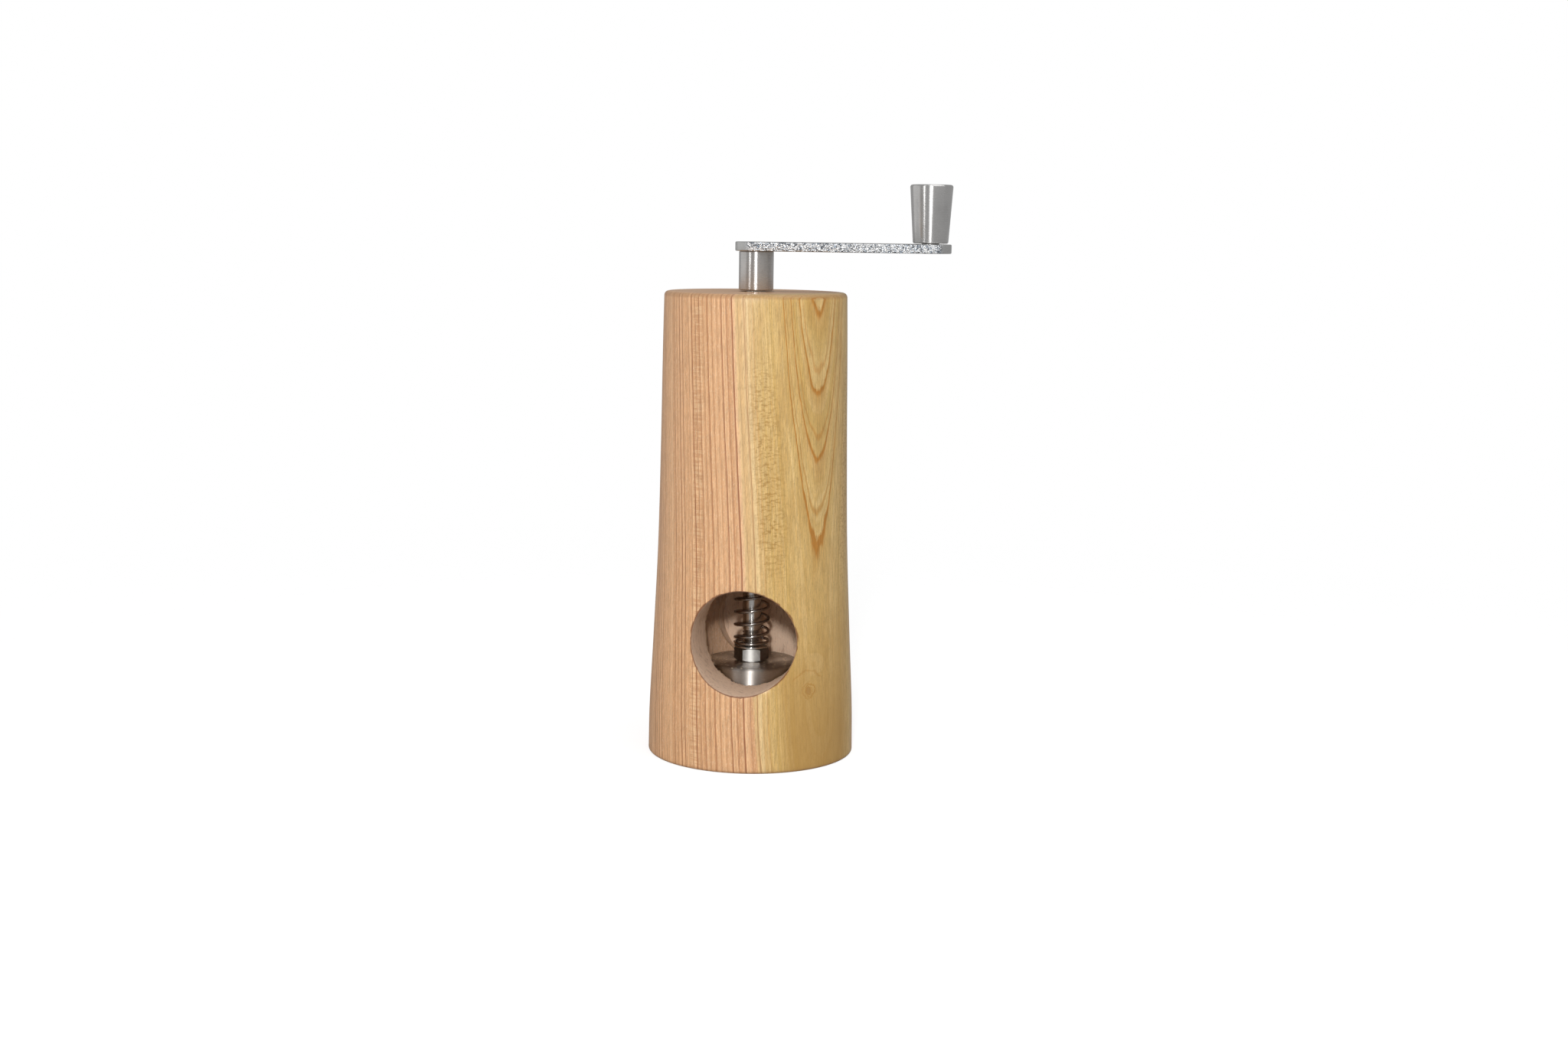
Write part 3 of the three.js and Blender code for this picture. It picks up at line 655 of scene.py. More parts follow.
def turned_metal(name, pale, dark, gloss, centre=(0, 0, 0), fineness=1.0, depth=0.4):
    """Metal off the lathe: fine grooves round it, a few scratches, and uneven handling marks.
    gloss is its lowest and highest roughness, depth its grooves' depth in hundredths of a mm.
    The grooves stretch its highlights along its outline, which the tangent follows."""
    made, place, surface = new_material(name, centre)
    marks = placed(turning, Place=place, Fineness=fineness)
    tone = step("MULTIPLY_ADD", marks["Smudge"], 0.6, times(marks["Groove"], 0.4))
    colour = blended(ramped(tone, 0.38, 0.66), pale, dark)
    join(tinted(colour, marks["Scratch"], 0.25, SCRATCH_BRIGHT), surface, "Base Color")
    surface.inputs["Metallic"].default_value = 1.0
    roughness = ramped(marks["Groove"], 0.3, 0.7, gloss[0], gloss[1])
    join(nudged(roughness, marks["Smudge"], 0.1), surface, "Roughness")
    surface.inputs["Anisotropic"].default_value = 0.93
    outward = vector_step("NORMALIZE", vector_step("MULTIPLY", place, (1, 1, 0)))
    across_grooves = add(
        "VectorTransform", {"Vector": vector_step("ADD", outward, (0, 0, 1))},
        vector_type="VECTOR", convert_from="OBJECT", convert_to="WORLD",
    ).outputs[0]
    join(across_grooves, surface, "Tangent")
    relief = step("MULTIPLY_ADD", marks["Scratch"], -1.5, marks["Groove"])
    join(bumped(relief, depth * 0.00001, 0.5), surface, "Normal")
    return made


bush_low, bush_high = span("top_bush")
FLANGE_THICKNESS = 1.45
BUSH_BORE, SLEEVE_RADIUS = 2.53, 4.0
flange_top = bush_low.z + FLANGE_THICKNESS
bush = soften(turned([
    (BUSH_BORE, bush_low.z), (bush_high.x, bush_low.z), (bush_high.x, flange_top),
    (SLEEVE_RADIUS, flange_top), (SLEEVE_RADIUS, bush_high.z), (BUSH_BORE, bush_high.z),
], steps=96), 0.15)
brass = turned_metal("turned_brass", (0.78, 0.58, 0.27), (0.62, 0.43, 0.17), (0.22, 0.38))
finished("bush_with_flange", bush, [brass], "mill_body", ["top_bush"])

# ---------------------------------------------------------------------------------------------
# Grater plate: a round sheet of stainless steel in the recess under the body, with six slots
# punched out and their edges raised into lips that shave the nutmeg.

plate_low, plate_high = span("grater_plate")
PLATE_RADIUS, PLATE_THICKNESS = plate_high.x, 1.0
LIP_HEIGHT, LIP_INSET = plate_high.z - plate_low.z - PLATE_THICKNESS, 0.2
SLOT_START, SLOT_END, SLOT_WIDTH, CUTTER_COUNT = 3.2, 11.6, 1.5, 6
HEAD_RADIUS, HEAD_SINK, HEAD_HEIGHT, THREAD_RADIUS = 2.4, 0.3, 1.3, 1.1
CLEARANCE = 0.05


def round_bar(radius, low, high, steps=64):
    """A plain cylinder on the axis."""
    return turned([(0, low), (radius, low), (radius, high), (0, high)], steps, closed=False)


def standing_about(make, count, first=0.0):
    """One shape repeated evenly round the axis in one mesh."""
    bm = bmesh.new()
    for i in range(count):
        one = make()
        one.transform(Matrix.Rotation(first + i * tau / count, 4, "Z"))
        mesh = bpy.data.meshes.new("work")
        one.to_mesh(mesh)
        one.free()
        bm.from_mesh(mesh)
        bpy.data.meshes.remove(mesh)
    return bm


def slot_punch():
    """A long hole with round ends."""
    end = SLOT_WIDTH / 2
    bm = bmesh.new()
    bmesh.ops.create_cone(
        bm, cap_ends=True, segments=24, radius1=end, radius2=end, depth=3 * PLATE_THICKNESS,
        matrix=Matrix.Translation((0, 0, plate_low.z)),
    )
    for vert in bm.verts:
        vert.co.x += SLOT_END - end if vert.co.x > 0.01 else SLOT_START + end
    return bm


def raised_lip():
    """The bent-up edge beside a slot: a thin curved wedge that rises over the slot."""
    bm = bmesh.new()
    top = plate_low.z + PLATE_THICKNESS
    rise = [(-2.6, -0.15), (-1.9, 0.12), (-1.2, 0.42), (-0.65, 0.72), (-0.3, LIP_HEIGHT)]
    under = [(-0.42, 0.42), (-0.8, 0.05), (-0.8, -0.15)]
    start, length = SLOT_START + LIP_INSET, SLOT_END - SLOT_START - 2 * LIP_INSET
    face = bm.faces.new([bm.verts.new((start, y, top + z)) for y, z in rise + under])
    far_end = points_of(bmesh.ops.extrude_face_region(bm, geom=[face])["geom"])
    bmesh.ops.translate(bm, verts=far_end, vec=(length, 0, 0))
    bmesh.ops.recalc_face_normals(bm, faces=bm.faces)
    return bm


def moved(bm, offset):
    """The shape shifted by an offset."""
    bmesh.ops.translate(bm, verts=bm.verts, vec=offset)
    return bm


def screw_seat():
    """The countersunk hole that a plate screw's head sits in, a little wider than the screw."""
    foot = plate_low.z - HEAD_SINK
    head, hole = HEAD_RADIUS + CLEARANCE, THREAD_RADIUS + CLEARANCE
    seat = turned([
        (0, foot - 1), (head, foot - 1), (head, foot), (hole, foot + HEAD_HEIGHT),
        (hole, foot + 4), (0, foot + 4),
    ], steps=32, closed=False)
    return moved(seat, (SCREW_CIRCLE, 0, 0))


plate = soften(round_bar(PLATE_RADIUS, plate_low.z, plate_low.z + PLATE_THICKNESS, 128), 0.12)
plate = carved(plate, standing_about(slot_punch, CUTTER_COUNT))
plate = carved(plate, standing_about(screw_seat, SCREW_COUNT, pi / 2))
plate = carved(plate, standing_about(raised_lip, CUTTER_COUNT), "UNION")
sheet_steel = turned_metal(
    "pressed_sheet_steel", (0.66, 0.65, 0.63), (0.52, 0.51, 0.49), (0.24, 0.40), fineness=0.8,
)
finished("grater_plate_with_lips", plate, [sheet_steel], "mill_body", ["grater_plate"])

# ---------------------------------------------------------------------------------------------
# Plate screws: three zinc-plated wood screws with sunk heads and cross recesses.

screw_low, screw_high = span("plate_screw_1")
ROOT_RADIUS, THREAD_STEP, THREAD_STOP = THREAD_RADIUS - 0.28, 0.8, 2.6
POINT_LENGTH, CROSS_SIZE, CROSS_TAPER = 2.3, (2.3, 0.55, 1.3, 1), 0.35
plated = turned_metal(
    "bright_zinc_plate", (0.80, 0.79, 0.77), (0.66, 0.65, 0.62), (0.16, 0.30), fineness=1.6,
)


def wood_screw():
    """Head down, thread up, with a cross recess cut into the head."""
    foot, tip = screw_low.z, screw_high.z
    thread = []
    height = foot + HEAD_HEIGHT + 0.6
    while height < tip - THREAD_STOP:
        thread += [(THREAD_RADIUS, height), (ROOT_RADIUS, height + 0.22), (ROOT_RADIUS, height + 0.5)]
        height += THREAD_STEP
    head = [(0, foot), (HEAD_RADIUS, foot), (HEAD_RADIUS, foot + 0.15)]
    head += [(THREAD_RADIUS, foot + HEAD_HEIGHT)]
    point = [(THREAD_RADIUS - 0.2, tip - POINT_LENGTH), (0, tip)]
    screw = turned(head + thread + point, steps=40, closed=False)
    middle = Vector((0, 0, foot + 0.2))
    for turn in (0, pi / 2):
        wing = bmesh.new()
        bmesh.ops.create_cube(
            wing, size=1,
            matrix=Matrix.Rotation(turn, 4, "Z") @ Matrix.Translation(middle) @ Matrix.Diagonal(CROSS_SIZE),
        )
        for vert in wing.verts:
            if vert.co.z > middle.z:
                vert.co.x *= CROSS_TAPER
                vert.co.y *= CROSS_TAPER
        screw = carved(screw, wing)
    return moved(screw, (SCREW_CIRCLE, 0, 0))


for i in range(SCREW_COUNT):
    screw = swung(wood_screw(), pi / 2 + i * tau / SCREW_COUNT)
    finished(
        f"wood_screw_{i + 1}", screw, [plated], "mill_body", [f"plate_screw_{i + 1}"],
    )

# ---------------------------------------------------------------------------------------------
# Shaft: a polished round rod through the whole mill, threaded below for the presser and its nut
# and tapped on top for the crank's screw.

shaft_low, shaft_high = span("shaft")
nut_low, nut_high = span("hex_nut")
SHAFT_RADIUS, SHAFT_CHAMFER = shaft_high.x, 0.4
THREAD_PITCH, THREAD_DEPTH, THREAD_TOP = 0.8, 0.42, nut_high.z + 5.2
TAPPED_RADIUS, TAPPED_DEPTH = 1.5, 8.1
root = SHAFT_RADIUS - THREAD_DEPTH

# Each turn of the thread is drawn as a ring groove: a narrow crest, a flank, and a narrow root.
thread = []
for i in range(int((THREAD_TOP - shaft_low.z - SHAFT_CHAMFER) / THREAD_PITCH)):
    height = shaft_low.z + SHAFT_CHAMFER + i * THREAD_PITCH
    thread += [
        (SHAFT_RADIUS, height), (SHAFT_RADIUS, height + 0.1),
        (root, height + 0.42), (root, height + 0.52),
    ]
rod = turned(
    [(0, shaft_low.z), (SHAFT_RADIUS - SHAFT_CHAMFER, shaft_low.z)] + thread
    + [
        (SHAFT_RADIUS, thread[-1][1] + 0.28), (SHAFT_RADIUS, shaft_high.z - 0.2),
        (SHAFT_RADIUS - 0.2, shaft_high.z), (TAPPED_RADIUS, shaft_high.z),
        (TAPPED_RADIUS, shaft_high.z - TAPPED_DEPTH), (0, shaft_high.z - TAPPED_DEPTH),
    ],
    steps=96, closed=False,
)
polished = turned_metal(
    "polished_stainless", (0.70, 0.68, 0.66), (0.58, 0.56, 0.53), (0.18, 0.26), fineness=1.5,
    depth=0.2,
)
finished("shaft_with_thread", rod, [polished], "spindle", ["shaft"], sharp=28)

# ---------------------------------------------------------------------------------------------
# Presser: a polished disc on the shaft's end, with four pointed pins pressed into its underside
# that bite into the nutmeg and turn it. Nutmeg dust lies on it.

presser_low, presser_high = span("presser_disc")
PRESSER_RADIUS, TOP_CHAMFER, FOOT_CHAMFER = presser_high.x, 0.5, 0.3
HOLE_RADIUS = SHAFT_RADIUS + CLEARANCE
PIN_COUNT, PIN_CIRCLE, PIN_RADIUS, PIN_DEPTH, PIN_POINT = 4, 7.5, 1.2, 6, 3
presser = soften(turned([
    (HOLE_RADIUS, presser_low.z), (PRESSER_RADIUS - FOOT_CHAMFER, presser_low.z),
    (PRESSER_RADIUS, presser_low.z + FOOT_CHAMFER), (PRESSER_RADIUS, presser_high.z - TOP_CHAMFER),
    (PRESSER_RADIUS - TOP_CHAMFER, presser_high.z), (HOLE_RADIUS, presser_high.z),
], steps=160), 0.06)


def pin_hole():
    """The blind hole that a pin is pressed into."""
    top = presser_low.z + PIN_DEPTH + CLEARANCE
    hole = round_bar(PIN_RADIUS + CLEARANCE, presser_low.z - 1, top, 32)
    return moved(hole, (PIN_CIRCLE, 0, 0))


presser = carved(presser, standing_about(pin_hole, PIN_COUNT, pi / 4))
NUTMEG_DUST = (0.74, 0.62, 0.46)
dusty_steel = turned_metal(
    "polished_dusty_stainless", (0.50, 0.47, 0.44), (0.36, 0.33, 0.30), (0.36, 0.46), fineness=1.2,
    depth=0.12,
)
tree = dusty_steel.node_tree
surface = surface_of(tree)
place = next(n for n in tree.nodes if n.type == "MAPPING").outputs["Vector"]
specks = add("TexVoronoi", {"Vector": place, "Scale": 1.1, "Randomness": 1.0}, feature="F1")
speck_size = mottle(place, (0.5, 0.5, 0.5), detail=2)
speck_size = ramped(speck_size, 0.40, 0.65, 0.12, 0.36)
on_top = ramped(axes_of(place)["Z"], presser_high.z - 0.2, presser_high.z - 0.02)
dust = times(step("LESS_THAN", specks.outputs["Distance"], speck_size), on_top)
clean = surface.inputs["Base Color"].links[0].from_socket
join(blended(dust, clean, NUTMEG_DUST), surface, "Base Color")
join(minus(1.0, dust), surface, "Metallic")
finished("presser_disc_polished", presser, [dusty_steel], "spindle", ["presser_disc"])

pin_low, pin_high = span("grip_pin_1")
for i in range(PIN_COUNT):
    pin = soften(turned([
        (0, pin_low.z), (PIN_RADIUS, pin_low.z + PIN_POINT), (PIN_RADIUS, pin_high.z), (0, pin_high.z),
    ], steps=48, closed=False), 0.08)
    pin = swung(moved(pin, (PIN_CIRCLE, 0, 0)), pi / 4 + i * tau / PIN_COUNT)
    finished(f"pin_pointed_{i + 1}", pin, [polished], "spindle", [f"grip_pin_{i + 1}"])

# ---------------------------------------------------------------------------------------------
# Nut and washer: an M5 hexagon nut screwed down on the presser, one flat to the front, its
# corners turned off and its zinc dulled. The thin bright washer on it lets the nut turn under
# the standing spring.

ACROSS_FLATS, NUT_CHAMFER = nut_high.y - nut_low.y, 0.45
corner, face_edge = ACROSS_FLATS / sqrt(3), ACROSS_FLATS / 2 - 0.2


def hexagon_bar(across_flats, low, high, turn=0.0):
    """A six-sided bar on the axis."""
    radius = across_flats / sqrt(3)
    bm = bmesh.new()
    bmesh.ops.create_cone(
        bm, cap_ends=True, segments=6, radius1=radius, radius2=radius, depth=high - low,
        matrix=Matrix.Translation((0, 0, (low + high) / 2)) @ Matrix.Rotation(turn, 4, "Z"),
    )
    return bm


nut = hexagon_bar(ACROSS_FLATS, nut_low.z, nut_high.z, radians(30))
first = nut.verts[:][0].co
nut_turn = round((atan2(first.y, first.x) % (pi / 3)) / (pi / 6)) * (pi / 6)
swung(nut, -nut_turn)
envelope = turned([
    (0, nut_low.z), (face_edge, nut_low.z), (corner, nut_low.z + NUT_CHAMFER),
    (corner, nut_high.z - NUT_CHAMFER), (face_edge, nut_high.z), (0, nut_high.z),
], steps=120, closed=False)
nut = carved(nut, envelope, "INTERSECT")
nut = carved(nut, round_bar(HOLE_RADIUS, nut_low.z - 1, nut_high.z + 1))
dulled = turned_metal(
    "dulled_zinc_plate", (0.42, 0.41, 0.39), (0.33, 0.32, 0.30), (0.42, 0.50), fineness=1.6,
)
finished("nut_hexagon", nut, [dulled], "spindle", ["hex_nut"], sharp=20)

washer_low, washer_high = span("spring_washer")
WASHER_BORE = SHAFT_RADIUS + 0.2
washer = soften(turned([
    (WASHER_BORE, washer_low.z), (washer_high.x, washer_low.z),
    (washer_high.x, washer_high.z), (WASHER_BORE, washer_high.z),
], steps=96), 0.08)
finished("washer_thin", washer, [plated], "spring_seat", ["spring_washer"])

# ---------------------------------------------------------------------------------------------
# Spring: right-handed, coiled from drawn wire, one turn closed at each end. It stands between
# the washer and the bush. In the real mill it shortens as the crank is pulled up; here it is one
# fixed coil.

spring_low, spring_high = span("spring")
WIRE_RADIUS, COIL_RADIUS, COIL_PITCH, CLOSED_TURN = 0.4, 4.45, 3.38, 0.85
WIRE_START, STEPS_PER_TURN = radians(108), 40
rise = spring_high.z - spring_low.z - 2 * WIRE_RADIUS
open_turns = round((rise - 2 * CLOSED_TURN) / COIL_PITCH)
coil = bmesh.new()
bmesh.ops.create_circle(
    coil, cap_ends=True, radius=WIRE_RADIUS, segments=12,
    matrix=Matrix.Rotation(WIRE_START, 4, "Z")
    @ Matrix.Translation((COIL_RADIUS, 0, spring_low.z + WIRE_RADIUS)) @ Matrix.Rotation(pi / 2, 4, "X"),
)
leading = coil.faces[:] + coil.edges[:] + coil.verts[:]
open_climb = (rise - 2 * CLOSED_TURN) / open_turns
for turn_count, climb in ((1, CLOSED_TURN), (open_turns, open_climb), (1, CLOSED_TURN)):
    leading = bmesh.ops.spin(
        coil, geom=leading, axis=(0, 0, 1), dvec=(0, 0, climb / STEPS_PER_TURN),
        angle=turn_count * tau, steps=turn_count * STEPS_PER_TURN,
    )["geom_last"]
bmesh.ops.remove_doubles(coil, verts=coil.verts, dist=0.001)
bmesh.ops.recalc_face_normals(coil, faces=coil.faces)
wire_steel = turned_metal(
    "drawn_spring_wire", (0.50, 0.47, 0.44), (0.33, 0.30, 0.28), (0.18, 0.30), fineness=0.5,
)
spring = finished("spring_coil", coil, [wire_steel], "mill_body", ["spring"], sharp=50)
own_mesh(spring)

# ---------------------------------------------------------------------------------------------
# Crank hub: a sleeve of turned steel over the shaft's upper end, under the arm.

hub_low, hub_high = span("crank_hub")
HUB_RADIUS, HUB_FOOT_CHAMFER, HUB_TOP_CHAMFER = hub_high.x, 0.3, 0.15
hub = soften(turned([
    (HOLE_RADIUS, hub_low.z), (HUB_RADIUS - HUB_FOOT_CHAMFER, hub_low.z),
    (HUB_RADIUS, hub_low.z + HUB_FOOT_CHAMFER), (HUB_RADIUS, hub_high.z - HUB_TOP_CHAMFER),
    (HUB_RADIUS - HUB_TOP_CHAMFER, hub_high.z), (HOLE_RADIUS, hub_high.z),
], steps=128), 0.05, sharper_than=40)
turned_steel = turned_metal(
    "turned_stainless", (0.68, 0.665, 0.65), (0.58, 0.565, 0.55), (0.25, 0.33), depth=0.05,
)
finished("hub_sleeve", hub, [turned_steel], "spindle", ["crank_hub"])

# ---------------------------------------------------------------------------------------------
# Crank arm: a flat steel bar with round ends, brushed along its faces, its long edges left coarse
# and painted with glints. It is countersunk over the hub and drilled at the far end for the knob's screw.

arm_low, arm_high = span("crank_arm")
ARM_WIDTH = arm_high.y - arm_low.y
ARM_REACH = arm_high.x - ARM_WIDTH / 2
ARM_EDGE = 0.3
arm = bmesh.new()
ends = []
for centre_x, side in ((ARM_REACH, -1), (0, 1)):
    start = arm.verts.new((centre_x, side * ARM_WIDTH / 2, arm_low.z))
    half_round = bmesh.ops.spin(
        arm, geom=[start], cent=(centre_x, 0, arm_low.z), axis=(0, 0, 1), angle=pi, steps=48,
    )
    ends.append((start, points_of(half_round["geom_last"])[0]))
arm.edges.new((ends[0][1], ends[1][0]))
arm.edges.new((ends[1][1], ends[0][0]))
bmesh.ops.edgeloop_fill(arm, edges=arm.edges)
raised = points_of(bmesh.ops.extrude_face_region(arm, geom=arm.faces[:])["geom"])
bmesh.ops.translate(arm, verts=raised, vec=(0, 0, arm_high.z - arm_low.z))
bmesh.ops.recalc_face_normals(arm, faces=arm.faces)
soften(arm, ARM_EDGE, segments=3, sharper_than=60)

SCREW_HEAD_RADIUS, SCREW_RADIUS, KNOB_THREAD_RADIUS = 3.0, 1.45, 1.95
head_foot = arm_high.z - (SCREW_HEAD_RADIUS - SCREW_RADIUS)
hole, seat = SCREW_RADIUS + CLEARANCE, SCREW_HEAD_RADIUS + CLEARANCE
arm = carved(arm, turned([
    (0, arm_low.z - 1), (hole, arm_low.z - 1), (hole, head_foot), (seat, arm_high.z),
    (seat, arm_high.z + 1), (0, arm_high.z + 1),
], steps=64, closed=False))
knob_hole = round_bar(KNOB_THREAD_RADIUS + CLEARANCE, arm_low.z - 1, arm_high.z + 1)
arm = carved(arm, moved(knob_hole, (ARM_REACH, 0, 0)))

# Coarse grains on the straight edges only: real bumpy pits, each grain also painted bright or dark,
# some bluish, as painted glints. The faces are brushed along the bar.
SPARKLE_DARK, SPARKLE_BRIGHT, SPARKLE_BLUE = (0.20, 0.22, 0.25), (0.90, 0.91, 0.92), (0.40, 0.50, 0.62)
BRUSHED_PALE, BRUSHED_DARK, SMUDGED = (0.70, 0.70, 0.69), (0.54, 0.54, 0.53), (0.42, 0.42, 0.41)
arm_steel, place, surface = new_material("brushed_steel_coarse_edge")
axes = axes_of(place)
grains = add("TexVoronoi", {"Vector": place, "Scale": 2.6, "Randomness": 1.0}, feature="F1")
facet = add("SeparateColor", {"Color": grains.outputs["Color"]}).outputs
grit = mottle(place, (2.4, 2.4, 2.4), detail=4, rough=0.7)
smudge = mottle(place, (0.18, 0.3, 0.3), detail=3)
painted_sparkle = blended(ramped(facet["Red"], 0.05, 0.60), SPARKLE_DARK, SPARKLE_BRIGHT)
painted_sparkle = blended(ramped(facet["Green"], 0.80, 0.90, 0, 0.45), painted_sparkle, SPARKLE_BLUE)
half_thickness, half_reach = (arm_high.z - arm_low.z) / 2, ARM_REACH / 2
on_edge = band(
    axes["Z"], arm_low.z + half_thickness, half_thickness - 0.03, half_thickness - 0.16,
)
coarse = times(on_edge, band(axes["X"], half_reach, half_reach + 3.4, half_reach + 1.5))
brushing = mottle(place, (0.25, 7.0, 7.0), detail=4, rough=0.65)
brushed = blended(ramped(brushing, 0.35, 0.65), BRUSHED_PALE, BRUSHED_DARK)
brushed = blended(ramped(smudge, 0.5, 0.7, 0, 0.25), brushed, SMUDGED)
join(blended(coarse, brushed, painted_sparkle), surface, "Base Color")
surface.inputs["Metallic"].default_value = 1.0
join(ramped(plus(grit, brushing), 0.7, 1.3, 0.28, 0.44), surface, "Roughness")
pits = plus(times(grains.outputs["Distance"], 0.9), grit)
relief = step("MULTIPLY_ADD", pits, coarse, times(brushing, 0.05))
join(bumped(relief, 0.00022, 1.0), surface, "Normal")
finished("arm_flat_bar", arm, [arm_steel], "spindle", ["crank_arm"])

# ---------------------------------------------------------------------------------------------
# Crank screw: a countersunk screw with a hexagon socket, through the arm into the shaft.

foot, tip_chamfer, head_edge = span("crank_screw")[0].z, 0.3, 0.12
screw = soften(turned([
    (0, foot), (SCREW_RADIUS - tip_chamfer, foot), (SCREW_RADIUS, foot + tip_chamfer),
    (SCREW_RADIUS, head_foot), (SCREW_HEAD_RADIUS, arm_high.z - head_edge),
    (SCREW_HEAD_RADIUS - head_edge, arm_high.z), (0, arm_high.z),
], steps=72, closed=False), 0.04)
screw = carved(screw, hexagon_bar(2, arm_high.z - 1.1, arm_high.z + 1))
finished("screw_countersunk", screw, [plated], "spindle", ["crank_screw"])

# ---------------------------------------------------------------------------------------------
# Knob and its screw: a turned steel knob, wider at the top, that spins on the shoulder of a
# socket screw whose head is sunk in its counterbore.

knob_low, knob_high = span("knob")
KNOB_TOP_RADIUS, KNOB_FOOT_RADIUS, KNOB_EDGE, KNOB_FOOT_CHAMFER = knob_high.y, 4.6, 0.6, 0.25
COUNTERBORE_RADIUS, COUNTERBORE_DEPTH, SHOULDER_RADIUS = 4.0, 3.2, 2.3
knob_bore = SHOULDER_RADIUS + 0.08
knob = moved(soften(turned(
    [
        (knob_bore, knob_low.z), (KNOB_FOOT_RADIUS - KNOB_FOOT_CHAMFER, knob_low.z),
        (KNOB_FOOT_RADIUS, knob_low.z + KNOB_FOOT_CHAMFER),
    ]
    + rounded(KNOB_TOP_RADIUS - KNOB_EDGE, knob_high.z - KNOB_EDGE, KNOB_EDGE, 0, 6)
    + [
        (COUNTERBORE_RADIUS, knob_high.z), (COUNTERBORE_RADIUS, knob_high.z - COUNTERBORE_DEPTH),
        (knob_bore, knob_high.z - COUNTERBORE_DEPTH),
    ],
    steps=128,
), 0.1, sharper_than=40), (ARM_REACH, 0, 0))
knob_steel = turned_metal(
    "turned_stainless_knob", (0.70, 0.69, 0.68), (0.60, 0.59, 0.58), (0.25, 0.33),
    centre=(ARM_REACH, 0, 0), depth=0.05,
)
finished("knob_turned", knob, [knob_steel], "knob", ["knob"])

pivot_low, pivot_high = span("knob_screw")
KNOB_HEAD_RADIUS, KNOB_HEAD_HEIGHT, KNOB_HEAD_CHAMFER = 3.6, 2.1, 0.3
shoulder_foot, head_foot = arm_high.z + CLEARANCE, pivot_high.z - KNOB_HEAD_HEIGHT
pivot = soften(turned([
    (0, pivot_low.z), (KNOB_THREAD_RADIUS, pivot_low.z), (KNOB_THREAD_RADIUS, shoulder_foot),
    (SHOULDER_RADIUS, shoulder_foot), (SHOULDER_RADIUS, head_foot), (KNOB_HEAD_RADIUS, head_foot),
    (KNOB_HEAD_RADIUS, pivot_high.z - KNOB_HEAD_CHAMFER),
    (KNOB_HEAD_RADIUS - KNOB_HEAD_CHAMFER, pivot_high.z), (0, pivot_high.z),
], steps=72, closed=False), 0.06)
key_hole = hexagon_bar(3, pivot_high.z - 1.5, pivot_high.z + 1)
pivot = carved(moved(pivot, (ARM_REACH, 0, 0)), moved(key_hole, (ARM_REACH, 0, 0)))
finished("screw_shouldered", pivot, [plated], "spindle", ["knob_screw"])

# ---------------------------------------------------------------------------------------------
# Studio: a pale sheet that fades into a white surround, a tall soft light at the left, a broad
# dim one beyond it, a small lamp over the camera, and a broad soft light above.

SHEET_RADIUS, SHEET_FADE, SHEET_GLOW, SURROUND = 0.45, 0.08, 0.72, 0.38
sheet = bmesh.new()
bmesh.ops.create_circle(sheet, cap_ends=True, radius=SHEET_RADIUS, segments=96)
mesh = bpy.data.meshes.new("studio_floor")
sheet.to_mesh(mesh)
sheet.free()
floor = bpy.data.objects.new("studio_floor", mesh)
bpy.context.collection.objects.link(floor)
paper = bpy.data.materials.new("white_paper")
paper.use_nodes = True
tree = paper.node_tree
surface = surface_of(tree)
surface.inputs["Base Color"].default_value = (0.42, 0.42, 0.42, 1)
surface.inputs["Roughness"].default_value = 0.6
surface.inputs["Specular IOR Level"].default_value = 0.1
surface.inputs["Emission Color"].default_value = (1, 1, 1, 1)
straight_seen = add("LightPath", {}, tree).outputs["Is Camera Ray"]
join(times(straight_seen, SHEET_GLOW), surface, "Emission Strength")
away = vector_step("DISTANCE", add("TexCoord", {}, tree).outputs["Object"], MILL_AXIS)
join(ramped(away, SHEET_RADIUS - 0.02, SHEET_FADE), surface, "Alpha")
mesh.materials.append(paper)

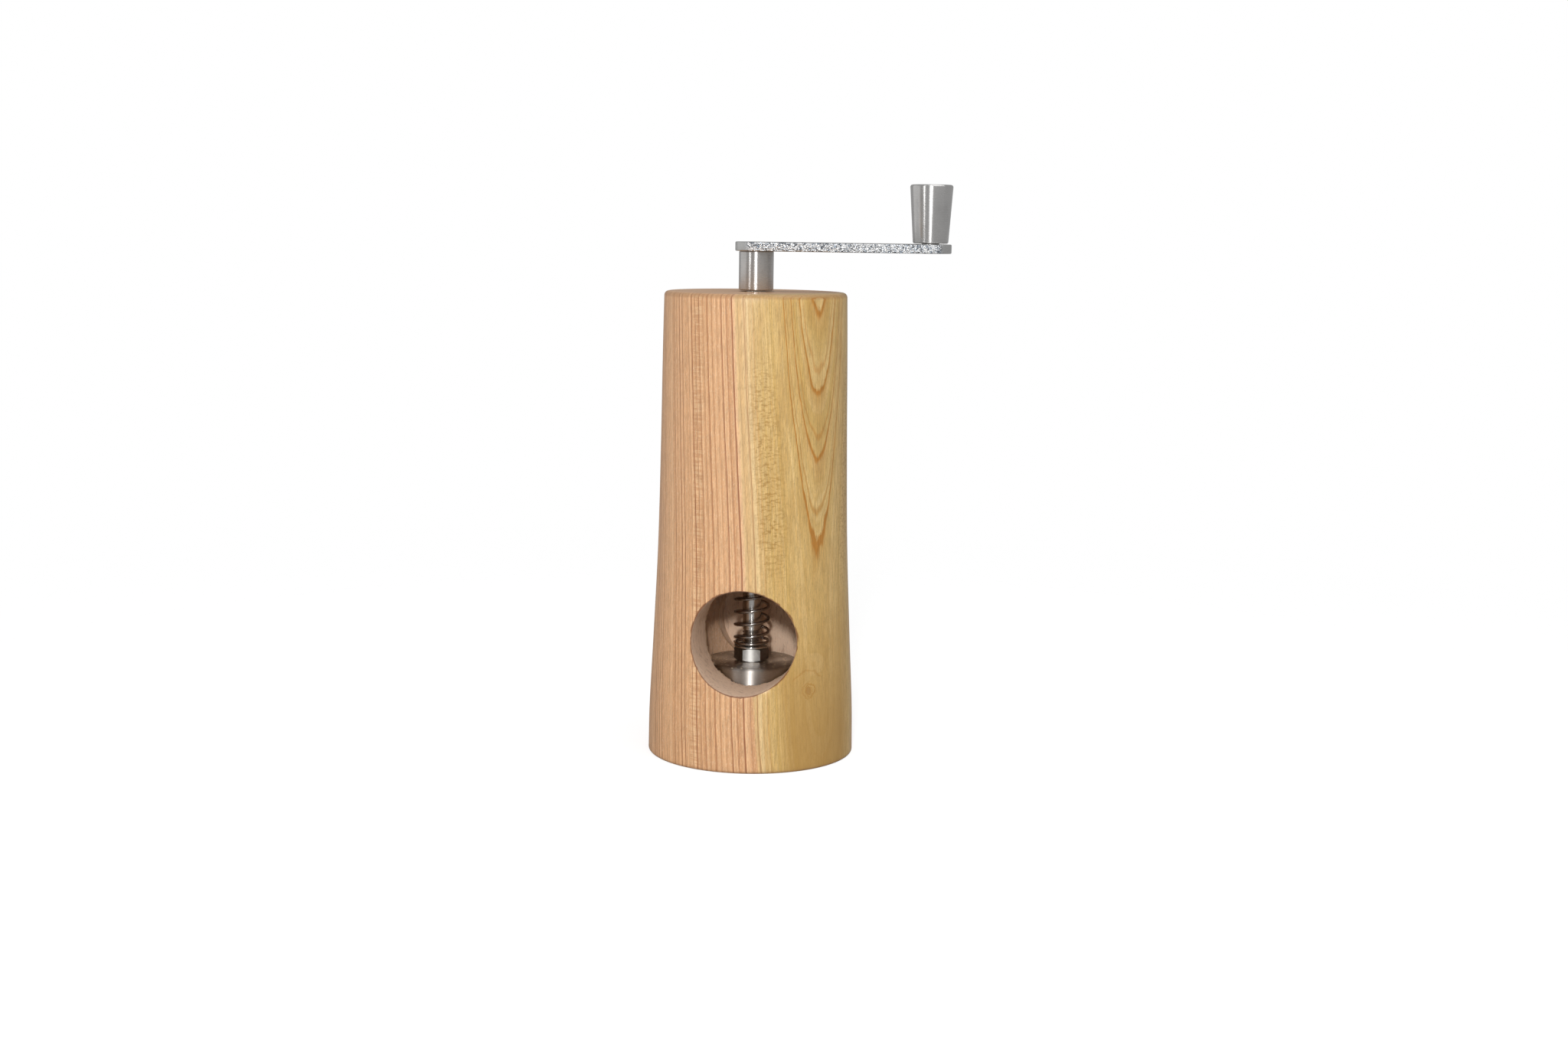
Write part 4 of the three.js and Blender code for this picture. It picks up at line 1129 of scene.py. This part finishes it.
world = bpy.data.worlds.new("white_surround")
bpy.context.scene.world = world
world.use_nodes = True
tree = world.node_tree
tree.nodes.clear()
straight_seen = add("LightPath", {}, tree).outputs["Is Camera Ray"]
level = add("MapRange", {"Value": straight_seen, "To Min": SURROUND, "To Max": 1.0})
background = add("Background", {"Color": (1, 1, 1, 1), "Strength": level.outputs["Result"]})
add("OutputWorld", {0: background.outputs[0]})


def soft_light(name, azimuth, distance, height, size, watts, aim=0.07):
    """A rectangular light round the mill, azimuth 0 being the front and + the right."""
    lamp = bpy.data.lights.new(name, "AREA")
    lamp.shape = "RECTANGLE"
    lamp.size, lamp.size_y = size
    lamp.energy = watts
    made = bpy.data.objects.new(name, lamp)
    bpy.context.collection.objects.link(made)
    turn = radians(azimuth)
    made.location = MILL_AXIS + Vector((sin(turn) * distance, -cos(turn) * distance, height))
    target = MILL_AXIS + Vector((0, 0, aim))
    made.rotation_euler = (target - made.location).to_track_quat("-Z", "Y").to_euler()
    return made


soft_light("left_softbox", -44, 0.9, 0.42, (0.10, 0.85), 0.9)
soft_light("side_fill", -100, 0.8, 0.25, (0.9, 0.9), 0.75)
soft_light("front_lamp", -3, 0.62, 0.272, (0.035, 0.05), 2.15)
soft_light("overhead", 50, 0.35, 0.90, (0.9, 0.9), 2.6, aim=0.0)

# ---------------------------------------------------------------------------------------------
# Camera: half a metre in front, a little above the crank, looking slightly down.

PAN, PITCH, ROLL = radians(0.9016), radians(8.455), radians(0.8643)
CAMERA_BACK, CAMERA_HEIGHT, SENSOR_MM, LENS_MM = 0.51903, 0.13814, 36, 45.63
forward = Vector((sin(PAN) * cos(PITCH), cos(PAN) * cos(PITCH), -sin(PITCH)))
level_right = Vector((cos(PAN), -sin(PAN), 0))
level_up = level_right.cross(forward)
right = level_right * cos(ROLL) + level_up * sin(ROLL)
up = level_up * cos(ROLL) - level_right * sin(ROLL)
lens = bpy.data.cameras.new("camera")
lens.sensor_width = SENSOR_MM
lens.lens = LENS_MM
lens.clip_start = 0.01
camera = bpy.data.objects.new("camera", lens)
bpy.context.collection.objects.link(camera)
turned_to = Matrix((right, up, -forward)).transposed().to_4x4()
camera_place = MILL_AXIS + Vector((0, -CAMERA_BACK, CAMERA_HEIGHT))
camera.matrix_world = Matrix.Translation(camera_place) @ turned_to
bpy.context.scene.camera = camera
bpy.context.scene.view_settings.view_transform = "Standard"
